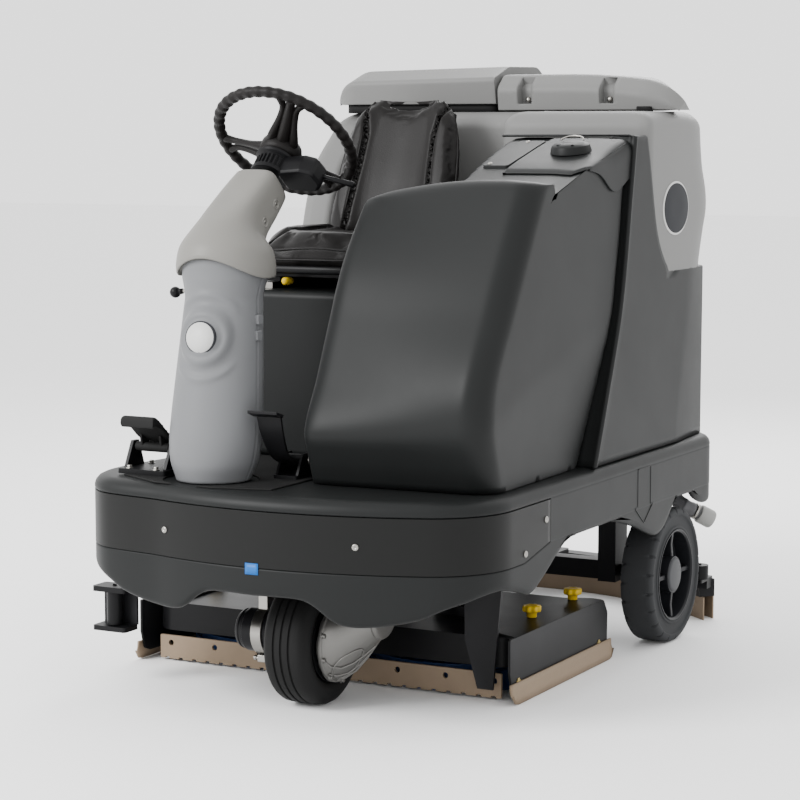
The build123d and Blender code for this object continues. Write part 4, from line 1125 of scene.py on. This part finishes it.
def seat_cushion():
    """The padded seat: raised sides, a hollow middle, and a front edge that is highest in its middle."""
    rings = []
    for y in spread(-0.338, 0.040, 42):
        near = min(1, (y + 0.342) / 0.05, (0.045 - y) / 0.03)
        thin = math.sqrt(max(0.06, 1 - (1 - max(0, near)) ** 2))
        wide = (0.192 - 0.030 * (1 - smooth((y + 0.34) / 0.12))) * lerp(0.93, 1, thin)
        ring = []
        for k in range(72):
            a = 2 * math.pi * k / 72
            c, d = math.cos(a), math.sin(a)
            reach = (abs(c) ** 3.4 + abs(d) ** 3.4) ** (-1 / 3.4)
            x = wide * reach * c
            crest = 1.074 + 0.008 * smooth((y + 0.34) / 0.12)
            if d > 0:
                side = smooth((abs(x) - 0.080) / 0.06)
                crest += 0.010 * side - 0.014 * (1 - side) * smooth((y + 0.30) / 0.10)
                crest -= 0.022 * smooth((abs(x) - 0.05) / 0.14) * (1 - smooth((y + 0.32) / 0.10))
            middle = (SEAT_LOW + 0.006 + crest) / 2
            ring.append((SEAT_X + x, y, middle + (crest - SEAT_LOW - 0.006) / 2 * thin * reach * d))
        rings.append(ring)
    cushion = add_mesh("seat_cushion_pad", *skin(rings))
    inflate(cushion, 0.014)
    for vertex in cushion.data.vertices:
        vertex.co.z = max(vertex.co.z, SEAT_LOW)
    channels = []
    for side in (-1, 1):
        channels.append([(SEAT_X + side * x, y) for x,
                         y in ((0.120, 0.02), (0.112, -0.06), (0.108, -0.16), (0.116, -0.24), (0.140, -0.31))])
    sew(cushion, channels, 0.008, 0.006, 2)
    place(cushion, "seat", VINYL, "seat_vinyl", "seat_cushion")
    for k, line in enumerate(channels):
        side = (-1, 1)[k]
        dense = [(lerp(a[0], b[0], u) + side * 0.0085, lerp(a[1], b[1], u)) for a,
                 b in zip(line, line[1:]) for u in (0, 0.25, 0.5, 0.75)]
        path = on_surface(cushion, dense, 2, 0.0006)
        place(add_mesh(f"seat_cushion_piping_{k}", *pipe(eased(path), 0.0028, 8)), "seat", VINYL, "seat_vinyl")
    for k, height in enumerate((1.064, 1.016)):
        path = []
        for a in spread(-0.12, math.pi + 0.12, 60):
            c, d = math.cos(a), math.sin(a)
            reach = (abs(c) ** 5 + abs(d) ** 5) ** (-1 / 5)
            q = Vector((SEAT_X + MID + 0.205 * reach * c, -0.10 - 0.26 * reach * d,
                        height - (0.016 * abs(c) ** 2 if k == 0 else 0)))
            _, where, normal, _ = cushion.closest_point_on_mesh(q)
            where = where + normal * 0.001
            path.append((where.x - MID, where.y, where.z))
        place(add_mesh(f"seat_cushion_welt_{k}", *pipe(eased(path), 0.0030, 8)), "seat", VINYL, "seat_vinyl")
    shell = []
    for inset, z in ((0.016, 0.9855), (0.0, 0.990), (0.0, 1.004), (0.004, 1.006)):
        corners = [(SEAT_X - 0.196 + inset, -0.335 + inset), (SEAT_X + 0.196 - inset, -0.335 + inset),
                   (SEAT_X + 0.196 - inset, 0.050 - inset),
                   (SEAT_X - 0.196 + inset, 0.050 - inset)]
        shell.append([(x, y, z) for x, y in rounded(corners, 0.05)])
    place(add_mesh("seat_shell", *skin(shell)), "seat", BLACK, "seat_vinyl")
    return cushion


def seat_lever():
    grip = turned((-0.265, -0.338, 0.968), (0, 1, -0.04),
                  ((0, 0), (0.006, 0.001), (0.0095, 0.006), (0.0100, 0.020), (0.0088, 0.036), (0.006, 0.041),
                   (0, 0.042)), 28)
    place(add_mesh("seat_lever_grip", *grip), "seat_handle", YELLOW, "yellow_plastic", "seat_lever")
    place(add_mesh("seat_lever_rod", *pipe([(-0.265, -0.300, 0.966), (-0.265, -0.242, 0.966)], 0.004, 14)),
          "seat_handle", ZINC, "bright_steel")


# ---------------------------------------------------------------- wheels

DRIVE_Y, DRIVE_R = -0.655, 0.153
REAR_Y, REAR_R = 0.375, 0.178


def wheel_surface(x_at, y, radius_of, steps, z):
    """A surface round an axis along X; radius_of(profile index, angle) gives each ring its radius."""
    rings = []
    for k, x in enumerate(x_at):
        ring = []
        for step in range(steps):
            a = 2 * math.pi * step / steps
            r = radius_of(k, a)
            ring.append((x, y + r * math.cos(a), z + r * math.sin(a)))
        rings.append(ring)
    rings.append(rings[0])
    return skin(rings, caps=(False, False))


def rear_tyre(side, node):
    """The grey tyre, with blocks cut into both shoulders of its tread."""
    outer = 0.507
    half = [(0.0030, 0.1212), (0.0012, 0.1240), (0.0020, 0.1290), (0.0050, 0.1305), (0.0050, 0.1550),
            (0.0015, 0.1570), (0.0, 0.1600),
            (0.0002, 0.1660), (0.0020, 0.1710), (0.0050, 0.1745), (0.0090, 0.1762), (0.0150, 0.1770),
            (0.0155, 0.1772), (0.030, 0.1778), (0.0445, 0.178)]
    cut = {6: 0.3, 7: 0.7, 8: 1, 9: 1, 10: 1, 11: 1}
    profile = half + [(0.089 - x, r) for x, r in reversed(half[:-1])]
    count = len(profile)
    profile.append((0.089 - 0.003, 0.1205))
    profile.insert(0, (0.003, 0.1205))
    notch = {k + 1: v for k, v in cut.items()}
    notch.update({count - k: v for k, v in cut.items()})

    def radius(k, a):
        wave = (a * 22 / (2 * math.pi) + (0.5 if k > count / 2 else 0)) % 1
        inside = smooth((0.085 - abs(wave - 0.5)) / 0.02)
        return profile[k][1] - 0.0055 * notch.get(k, 0) * inside

    xs = [side * (outer - x) for x, _ in profile]
    tyre = add_mesh(f"{node}_tread", *wheel_surface(xs, REAR_Y, radius, 528, REAR_R))
    modifier(tyre, "WEIGHTED_NORMAL", keep_sharp=True)
    return place(tyre, f"rear_wheel_{'left' if side > 0 else 'right'}", TYRE_GREY, "grey_tyre", node)


def rear_rim(side, node):
    """The deep rim: a barrel, a dark web, four spokes and the grey hub cap."""
    outer = 0.507

    def lathe(profile, steps=96, close=False):
        return turned((side * outer, REAR_Y, REAR_R), (-side, 0, 0), profile, steps, close)

    barrel = lathe(((0.1205, 0.0005), (0.1170, 0.0005), (0.1130, 0.004), (0.1115, 0.012), (0.1100, 0.044),
                    (0.0460, 0.050), (0.0460, 0.070),
                    (0.1150, 0.070), (0.1205, 0.085)), close=True)
    spokes = []
    for k in range(4):
        a = math.radians(45 + 45 + 90 * k)
        y, z = math.cos(a), math.sin(a)
        across = (-z, y)
        outline = rounded([(0.036, 0.010), (0.080, 0.014), (0.116, 0.010), (0.116, 0.052), (0.036, 0.052)],
                          [0, 0.01, 0.004, 0, 0])
        rings = []
        for off in (-0.0065, -0.005, 0.005, 0.0065):
            deep = 0.0015 if abs(off) > 0.006 else 0
            rings.append([(side * (outer - d - deep), REAR_Y + r * y + off * across[0],
                           REAR_R + r * z + off * across[1]) for r, d in outline])
        spokes.append(skin(rings))
    hub = lathe(((0.0, 0.006), (0.0485, 0.006), (0.0490, 0.012), (0.0490, 0.052), (0.0, 0.052)), 72)
    body = f"rear_wheel_{'left' if side > 0 else 'right'}"
    place(bevelled(add_mesh(f"{node}_shape", *merge(barrel, *spokes, hub)), 0.0008), body, RIM, "rim_paint", node)
    cap = lathe(((0.0, 0.0015), (0.036, 0.0018), (0.0425, 0.003), (0.0450, 0.006), (0.0450, 0.012), (0.0, 0.012)), 72)
    return place(add_mesh(f"{node}_cap", *cap), body, CAP_GREY, "rim_paint")


def drive_tyre():
    """The black tyre with three grooves round its tread and rounded side walls."""
    half = 0.0585
    profile = [(-half + 0.012, 0.0965), (-half + 0.004, 0.103), (-half, 0.114), (-half + 0.001, 0.126),
               (-half + 0.006, 0.139), (-half + 0.012, 0.1465),
               (-half + 0.020, 0.1508)]
    for x in (-0.020, 0.0, 0.020):
        crown = 0.153 - 2.2 * x * x
        profile += [(x - 0.0030, crown), (x - 0.0022, crown - 0.0045), (x + 0.0022, crown - 0.0045),
                    (x + 0.0030, crown)]
    profile += [(half - 0.020, 0.1508), (half - 0.012, 0.1465), (half - 0.006, 0.139), (half - 0.001, 0.126),
                (half, 0.114), (half - 0.004, 0.103),
                (half - 0.012, 0.0965)]
    tyre = add_mesh("drive_tyre_tread", *wheel_surface([x for x, _ in profile], DRIVE_Y, lambda k, a: profile[k][1],
                                                       160, DRIVE_R))
    bevelled(tyre, 0.0012, segments=2, angle=35)
    return place(tyre, "drive_wheel", TYRE_BLACK, "black_tyre", "drive_tyre")


def gearbox():
    """The cast gearbox on the drive wheel's left: flange, dome with a raised window, ribs and bolts."""
    path = ((0.0610, 0.153, 0.092), (0.0670, 0.153, 0.096), (0.0740, 0.154, 0.096), (0.0765, 0.155, 0.0915),
            (0.0880, 0.160, 0.0895),
            (0.1050, 0.168, 0.0840), (0.1250, 0.182, 0.0760), (0.1450, 0.198, 0.0670), (0.1650, 0.212, 0.0590),
            (0.1800, 0.222, 0.0530),
            (0.1850, 0.226, 0.0570), (0.1920, 0.230, 0.0570), (0.1950, 0.231, 0.0500))
    rings = []
    for x, z, r in path:
        ring = []
        for k in range(96):
            a = 2 * math.pi * k / 96
            lobe = 0.0016 * max(0, math.cos(6 * a)) if x < 0.075 else 0
            ring.append((x, DRIVE_Y + (r + lobe) * math.cos(a), z + (r + lobe) * math.sin(a)))
        rings.append(ring)
    parts = [skin(rings)]
    neck = [[(x, y, z) for x, y in rounded([(0.098, DRIVE_Y - 0.046), (0.186, DRIVE_Y - 0.046),
                                            (0.186, DRIVE_Y + 0.046), (0.098, DRIVE_Y + 0.046)], 0.02)]
            for z in (0.225, 0.318, 0.322)]
    parts.append(skin(neck))
    for k in range(7):
        a = math.radians(200 + 26 * k)
        ridge = [(x + 0.001, DRIVE_Y + (r + 0.0008) * math.cos(a + 0.25 * i),
                  z + (r + 0.0008) * math.sin(a + 0.25 * i))
                 for i, (x, z, r) in enumerate(path[3:9])][: 5 if k % 2 else 6]
        parts.append(pipe(ridge, 0.0030, 8))
    window = []
    for step in range(40):
        b = 2 * math.pi * step / 40
        x = 0.118 + 0.034 * math.cos(b)
        a = math.radians(238) + 0.42 * math.sin(b) * (1 - 0.2 * math.cos(b))
        z = follow([(p[0], p[1]) for p in path], x)
        r = follow([(p[0], p[2]) for p in path], x) + 0.001
        window.append((x, DRIVE_Y + r * math.cos(a), z + r * math.sin(a)))
    parts.append(pipe(window + window[:2], 0.0026, 8))
    for k in range(10):
        a = 2 * math.pi * (k + 0.5) / 10
        centre = (0.076, DRIVE_Y + 0.0925 * math.cos(a), 0.154 + 0.0925 * math.sin(a))
        parts.append(turned(centre, (1, 0, 0),
                            ((0.0, 0.007), (0.0045, 0.007), (0.0055, 0.005), (0.0055, 0.0), (0.0075, 0.0),
                             (0.0075, -0.003), (0, -0.003)), 12))
    body = bevelled(add_mesh("gearbox_casting", *merge(*parts)), 0.0009)
    place(body, "drive_unit", ALLOY, "cast_alloy", "drive_gearbox")
    axle = turned((-0.056, DRIVE_Y, DRIVE_R), (1, 0, 0), ((0, 0), (0.020, 0.0), (0.020, 0.12), (0, 0.12)), 36)
    return place(add_mesh("drive_axle", *axle), "drive_unit", ZINC, "cast_alloy")


def drive_motor():
    """The drive motor: a finned end bell, its can, a pale plain label and the clamp strap with its bolt."""
    profile = [(0.0, 0.0), (0.044, 0.0), (0.046, 0.003)]
    profile += [(0.046 + 0.002 * (k % 2), 0.004 + 0.0035 * k) for k in range(4)]
    profile += [(0.0485, 0.020), (0.052, 0.022), (0.052, 0.122), (0.046, 0.128), (0.0, 0.128)]
    body = bevelled(add_mesh("drive_motor_can", *turned((-0.190, DRIVE_Y, 0.160), (1, 0, 0), profile, 72)), 0.0008)
    place(body, "drive_unit", MOTOR, "motor_paint", "drive_motor")
    label = []
    for x in (-0.104, -0.080):
        label.append([(x, DRIVE_Y + 0.0526 * math.cos(a), 0.160 + 0.0526 * math.sin(a)) for a in spread(3.3, 4.6,
                24)])
    sticker = add_mesh("drive_motor_label", *skin(label, loop=False, caps=(False, False)))
    modifier(sticker, "SOLIDIFY", thickness=0.0004, offset=-1)
    place(sticker, "drive_unit", PALE, "badge")
    band = turned((-0.140, DRIVE_Y, 0.160), (1, 0, 0),
                  ((0.0522, 0.0), (0.0570, 0.0), (0.0575, 0.001), (0.0575, 0.027), (0.0570, 0.028), (0.0522, 0.028)),
                  72, close=True)
    hanger = slab(rounded([(-0.138, 0.214), (-0.114, 0.214), (-0.114, 0.3215), (-0.138, 0.3215)], 0.002), 1,
                  DRIVE_Y - 0.020, DRIVE_Y + 0.020)
    lug = slab(rounded([(DRIVE_Y - 0.030, 0.088), (DRIVE_Y - 0.006, 0.088), (DRIVE_Y - 0.006, 0.106),
                        (DRIVE_Y - 0.030, 0.106)], 0.003), 0, -0.136, -0.116)
    bolt = turned((-0.150, DRIVE_Y - 0.020, 0.096), (1, 0, 0),
                  ((0, 0), (0.006, 0.0), (0.0065, 0.006), (0.004, 0.007), (0.004, 0.085), (0, 0.085)), 20)
    return place(bevelled(add_mesh("motor_strap_band", *merge(band, hanger, lug, bolt)), 0.0007), "drive_unit", ZINC,
                 "bright_steel", "motor_strap")


# ---------------------------------------------------------------- scrub deck, pedals and small parts

DECK_X, SKIRT = -0.092, 0.519


def side_skirts():
    """The black skirt plates with their rolled flanges and brass clips, and the flared blades below."""
    outline = rounded([(-0.476, 0.157), (-0.476, 0.075), (-0.462, 0.030), (-0.440, 0.022), (0.100, 0.022),
                       (0.104, 0.120), (0.078, 0.157)],
                      [0.004, 0.012, 0.012, 0.012, 0.008, 0.02, 0.02])
    plates, blades, clips = [], [], []
    for side in (1, -1):
        x = DECK_X + side * SKIRT
        inner = sorted((x - side * 0.006, x))
        plates.append(slab(outline, 0, *inner))
        flange = rounded([(x - side * 0.092, -0.400), (x - side * 0.003, -0.440), (x - side * 0.003, 0.074),
                          (x - side * 0.030, 0.080),
                          (x - side * 0.092, 0.060)], [0.03, 0.002, 0.004, 0.02, 0.03])
        plates.append(slab(flange, 2, 0.1505, 0.1572))
        rings = []
        for y in spread(-0.482, 0.116, 46):
            ends = max(0, (-0.458 - y) / 0.024, (y - 0.086) / 0.030)
            lift = 0.024 * (1 - math.sqrt(max(0, 1 - ends**2)))
            flare = [(0.0005, 0.050), (0.0015, 0.034), (0.004, 0.018), (0.009, 0.0015 + lift)]
            outer = [(out + 0.0048, z) for out, z in flare]
            rings.append([(x + side * out, y, max(z, 0.0015 + lift)) for out, z in flare + list(reversed(outer))])
        blades.append(skin(rings))
        for y, z in ((-0.432, 0.048), (0.046, 0.048)):
            clips.append(slab(rounded([(y - 0.0045, z - 0.011), (y + 0.0045, z - 0.011), (y + 0.0045, z + 0.011),
                                       (y - 0.0045, z + 0.011)], 0.001), 0,
                              *sorted((x, x + side * 0.0022))))
            clips.append(pipe([(x + side * 0.001, y - 0.010, z + 0.004), (x + side * 0.001, y + 0.010, z + 0.004)],
                              0.0016, 8))
    place(bevelled(add_mesh("side_skirt_plates", *merge(*plates)), 0.001), "scrub_deck", STEEL_BLACK, "frame_steel",
          "side_skirts")
    holes = []
    strip = slab(rounded([(DECK_X - 0.480, 0.066), (DECK_X - 0.480, 0.006), (DECK_X + 0.480, 0.006),
                          (DECK_X + 0.480, 0.066)], 0.003), 1, -0.4425, -0.4355)
    front = add_mesh("front_blade", *strip)
    for k, x in enumerate([-0.54 + 0.13 * i for i in range(8)]):
        holes.append(add_mesh(f"blade_hole_{k}",
                              *turned((x, -0.46, 0.047), (0, 1, 0), ((0, 0), (0.0075, 0), (0.0075, 0.04), (0, 0.04)),
                                      20)))
    for k, x in enumerate(spread(DECK_X - 0.46, DECK_X + 0.46, 24)):
        holes.append(add_mesh(f"blade_notch_{k}",
                              *slab(((x - 0.006, 0.0), (x + 0.006, 0.0), (x + 0.006, 0.0105), (x - 0.006, 0.0105)),
                                    1, -0.46, -0.42)))
    carve(front, *holes)
    place(bevelled(front, 0.001), "scrub_deck", TAN, "tan_rubber", "deck_blades")
    place(add_mesh("side_blades", *merge(*blades)), "scrub_deck", TAN, "tan_rubber")
    place(bevelled(add_mesh("skirt_clips", *merge(*clips)), 0.0004), "scrub_deck", BRASS, "bright_steel")


def deck_knob(node, x, y):
    """A lobed hand knob on a waisted hub."""
    rings = []
    for r, z in ((0.011, 0.158), (0.0125, 0.159), (0.0125, 0.168), (0.016, 0.171), (0.0225, 0.1725),
                 (0.0245, 0.1755), (0.0245, 0.1835), (0.0225, 0.1865),
                 (0.012, 0.188), (0.010, 0.1865)):
        ring = []
        for k in range(64):
            a = 2 * math.pi * k / 64
            lobe = 1 - (0.16 * (0.5 - 0.5 * math.cos(8 * a)) if r > 0.02 else 0)
            ring.append((x + r * lobe * math.cos(a), y + r * lobe * math.sin(a), z))
        rings.append(ring)
    knob = add_mesh(f"{node}_shape", *skin(rings))
    modifier(knob, "WEIGHTED_NORMAL", keep_sharp=True)
    side, end = node.split("_")[1:]
    return place(knob, f"{side}_{end}_knob", YELLOW, "yellow_plastic", node)


def pedals():
    """The drive pedal's rubber treadle, and the brake pedal's curved arm with its bent pad."""
    curve = [(-0.640, 0.583), (-0.690, 0.600), (-0.735, 0.622), (-0.768, 0.648), (-0.792, 0.660), (-0.806, 0.656)]
    line = [(follow([(i, p[0]) for i, p in enumerate(curve)], t),
             follow([(i, p[1]) for i, p in enumerate(curve)], t)) for t in spread(0, 5, 30)]
    rings = []
    for k, (y, z) in enumerate(line):
        thick = 0.0075 + 0.004 * smooth((k - 15) / 10)
        if k in (0, 29):
            thick *= 0.5
        ring = rounded([(-0.436, z - thick), (-0.344, z - thick), (-0.344, z + thick), (-0.436, z + thick)], 0.006, 3)
        rings.append([(x, y, w) for x, w in ring])
    ribs = [pipe([(-0.430, y + 0.001, z + 0.0095), (-0.350, y + 0.001, z + 0.0095)], 0.0020, 8) for y,
            z in line[3:28:3]]
    hub = turned((-0.436, -0.735, 0.592), (1, 0, 0), ((0, 0), (0.0115, 0), (0.0115, 0.093), (0, 0.093)), 32)
    web = [slab(((-0.745, 0.590), (-0.725, 0.590), (-0.715, 0.612), (-0.750, 0.622)), 0, x,
                x + 0.006) for x in (-0.420, -0.366)]
    place(bevelled(add_mesh("drive_treadle_pad", *merge(skin(rings), *ribs, hub, *web)), 0.0008), "drive_treadle",
          MAT, "mat_rubber", "drive_pedal")
    pins = [turned((-0.4535, -0.735, 0.592), (1, 0, 0),
                   ((0, 0), (0.007, 0.0), (0.007, 0.004), (0.005, 0.0045), (0.005, 0.129), (0.0085, 0.1295),
                    (0.0085, 0.134), (0, 0.134)), 24)]
    pins += [turned((x, y, 0.5455), (0, 0, 1),
                    ((0.0095, 0), (0.0095, 0.0015), (0.0065, 0.002), (0.0065, 0.0065), (0.005, 0.008), (0, 0.008)), 6)
             for x in (-0.425, -0.350) for y in (-0.785, -0.692)]
    place(bevelled(add_mesh("pedal_pins", *merge(*pins)), 0.0006), "chassis", ZINC, "bright_steel")
    arm = [(-0.652, 0.566), (-0.690, 0.574), (-0.720, 0.592), (-0.741, 0.622), (-0.757, 0.655), (-0.768, 0.690)]
    line = [(follow([(i, p[0]) for i, p in enumerate(arm)], t),
             follow([(i, p[1]) for i, p in enumerate(arm)], t)) for t in spread(0, 5, 26)]
    rings = []
    for k, (y, z) in enumerate(line):
        wide = lerp(0.020, 0.032, smooth(k / 25))
        along = Vector((line[min(k + 1, 25)][0] - line[max(k - 1, 0)][0],
                        line[min(k + 1, 25)][1] - line[max(k - 1, 0)][1])).normalized()
        across = (-along.y * 0.0035, along.x * 0.0035)
        rings.append([(-0.050 - wide, y - across[0], z - across[1]), (-0.050 + wide, y - across[0], z - across[1]),
                      (-0.050 + wide, y + across[0], z + across[1]), (-0.050 - wide, y + across[0], z + across[1])])
    top = line[-1]
    pad = [[(-0.090, top[0] - 0.002, top[1] - 0.004), (-0.012, top[0] - 0.002, top[1] - 0.004),
            (-0.012, top[0] + 0.004, top[1] + 0.003), (-0.090, top[0] + 0.004, top[1] + 0.003)],
           [(-0.090, top[0] - 0.030, top[1] + 0.006), (-0.012, top[0] - 0.030, top[1] + 0.006),
            (-0.012, top[0] - 0.030, top[1] + 0.013), (-0.090, top[0] - 0.030, top[1] + 0.013)]]
    hub = turned((-0.073, -0.640, 0.575), (1, 0, 0), ((0, 0), (0.012, 0), (0.012, 0.046), (0, 0.046)), 28)
    place(bevelled(add_mesh("brake_arm", *merge(skin(rings), skin(pad), hub)), 0.001), "brake_treadle", STEEL_BLACK,
          "frame_steel", "brake_pedal")
    roller = turned((-0.016, -0.640, 0.575), (1, 0, 0),
                    ((0, 0), (0.006, 0), (0.006, 0.003), (0.017, 0.004), (0.019, 0.006), (0.014, 0.009),
                     (0.019, 0.012), (0.017, 0.014), (0.007, 0.015), (0, 0.016)), 40)
    return place(add_mesh("brake_roller", *roller), "chassis", ZINC, "bright_steel")


def drain_hose():
    """The drain hose with its ribs, clamp and pale cap."""
    corner = [(0.405, 0.588, 0.470), (0.405, 0.588, 0.345), (0.470, 0.640, 0.300)]
    path = [corner[0]] + [p for p in bezier((0.405, 0.588, 0.400), corner[1], (0.430, 0.608, 0.328),
                                            10)] + [corner[2]]
    dense = [tuple(Vector(a).lerp(Vector(b), u)) for a,
             b in zip(path, path[1:]) for u in spread(0, 0.9, 8)] + [path[-1]]
    radii = [0.0185 + 0.0016 * (1 if k % 4 < 2 else 0) for k in range(len(dense))]
    place(add_mesh("drain_hose_ribbed", *pipe(dense, radii, 24)), "chassis", HOSE, "hose_grey", "drain_hose")
    along = (Vector(corner[2]) - Vector(corner[1])).normalized()
    end = Vector(corner[2])
    cap = turned(end, along, ((0, -0.004), (0.0235, -0.004), (0.0255, 0.0), (0.0255, 0.034), (0.023, 0.040),
                              (0.0, 0.042)), 40)
    place(bevelled(add_mesh("drain_cap", *cap), 0.0015), "chassis", CAP_PALE, "hose_grey")
    band = turned(end - along * 0.020, along, ((0.0202, 0.0), (0.0222, 0.0), (0.0222, 0.010), (0.0202, 0.010)), 40,
                  close=True)
    return place(add_mesh("drain_clamp", *band), "chassis", ZINC, "bright_steel")


def outline_rib(name, points, x):
    """A fine raised line on the lower body's side."""
    path = [(x, y, z) for y, z in points + points[:1]]
    return add_mesh(name, *pipe([tuple(Vector(a).lerp(Vector(b), u)) for a,
                                 b in zip(path, path[1:]) for u in (0, 0.1, 0.5, 0.9)] + [path[0]], 0.0013, 8))


def small_details():
    """Plain embossed arrows on both sides, the plain blue label, and the cover screw heads."""
    arrow = [(0.070, 0.496), (0.154, 0.496), (0.154, 0.400), (0.172, 0.400), (0.112, 0.356), (0.052, 0.400),
             (0.070, 0.400)]
    for k, side in enumerate((1, -1)):
        place(outline_rib(f"side_arrow_{k}", arrow, side * 0.5198), "chassis", DARK, "dark_plastic")
    label = [[(x, FRONT - 0.0006 - 0.0004 + 0.5 * x * x, z) for x in spread(-0.014, 0.020, 6)] for z in (0.352,
            0.378)]
    sticker = add_mesh("front_label", *skin(label, loop=False, caps=(False, False)))
    modifier(sticker, "SOLIDIFY", thickness=0.0004, offset=0)
    place(sticker, "chassis", BLUE, "badge")
    heads = []
    spots = [((x, FRONT + 0.53 * x * x - 0.0005, 0.429), (2 * 0.53 * x, -1, 0)) for x in (-0.25, 0.25)]
    spots += [((s * 0.5198, y, z), (s, 0, 0)) for s in (1, -1) for y, z in ((-0.484, 0.451), (-0.596, 0.388))]
    for centre, out in spots:
        heads.append(turned(centre, out, ((0, 0.0016), (0.0022, 0.0018), (0.0030, 0.0036), (0.0062, 0.0036),
                                          (0.0080, 0.0018), (0.0080, -0.001), (0, -0.001)), 28))
    return place(add_mesh("cover_screw_heads", *merge(*heads)), "chassis", ZINC, "screw_steel", "cover_screws")


# ---------------------------------------------------------------- stage


CAMERA_AT = (2.757, -5.421, 1.343)
CAMERA_LENS = 107.2
CAMERA_PITCH, CAMERA_TURN = 6.49, 27.93
KEY_WATTS, BACK_WATTS = 420, 160
WORLD_STRENGTH = 2.0


def camera():
    """The view from the machine's left front, slightly from above."""
    data = bpy.data.cameras.new("camera")
    data.lens = CAMERA_LENS
    data.sensor_width = 36
    obj = bpy.data.objects.new("camera", data)
    obj.location = (CAMERA_AT[0] + MID, CAMERA_AT[1], CAMERA_AT[2])
    obj.rotation_euler = (math.radians(90 - CAMERA_PITCH), 0, math.radians(CAMERA_TURN))
    bpy.context.scene.collection.objects.link(obj)
    bpy.context.scene.camera = obj


def light(name, place_at, aim, power, size):
    data = bpy.data.lights.new(name, "AREA")
    data.energy = power
    data.size = size
    obj = bpy.data.objects.new(name, data)
    obj.location = place_at
    obj.rotation_mode = "QUATERNION"
    obj.rotation_quaternion = (Vector(aim) - Vector(place_at)).to_track_quat("-Z", "Y")
    bpy.context.scene.collection.objects.link(obj)


def stage():
    camera()
    floor = add_mesh("floor", [(-30, -30, 0), (30, -30, 0), (30, 30, 0), (-30, 30, 0)], [(0, 1, 2, 3)])
    floor.data.materials.append(material("floor_paper", (0.93, 0.93, 0.93), 0.85, bump=0.02, mottle=0.004,
                                         specular=0.1))
    world = bpy.data.worlds.new("studio")
    world.use_nodes = True
    world.node_tree.nodes["Background"].inputs["Color"].default_value = (1, 1, 1, 1)
    world.node_tree.nodes["Background"].inputs["Strength"].default_value = WORLD_STRENGTH
    bpy.context.scene.world = world
    light("key", (-2.6, -4.4, 3.4), (0, -0.2, 0.8), KEY_WATTS, 2.4)
    light("back", (-0.5, 4.0, 3.6), (0, 0, 1.0), BACK_WATTS, 2.6)


stage()
keep_cad_nodes()
lower_body()
bumper_band()
pod()
hatch_lid()
hatch_cap()
hinge_plate()
rear_body()
recovery_tank()
recovery_lid()
vacuum_cover()
tank_badges()
column_covers()
head_cover()
collar()
steering_wheel()
control_pod()
tilt_lever()
seat_back()
seat_cushion()
seat_lever()
for wheel_side, wheel_name in ((1, "left"), (-1, "right")):
    rear_tyre(wheel_side, f"rear_tyre_{wheel_name}")
    rear_rim(wheel_side, f"rear_rim_{wheel_name}")
drive_tyre()
gearbox()
drive_motor()
side_skirts()
for knob_side, knob_name in ((1, "left"), (-1, "right")):
    for knob_y, knob_end in ((-0.212, "front"), (0.034, "rear")):
        deck_knob(f"knob_{knob_name}_{knob_end}", DECK_X + knob_side * 0.452, knob_y)
pedals()
drain_hose()
small_details()
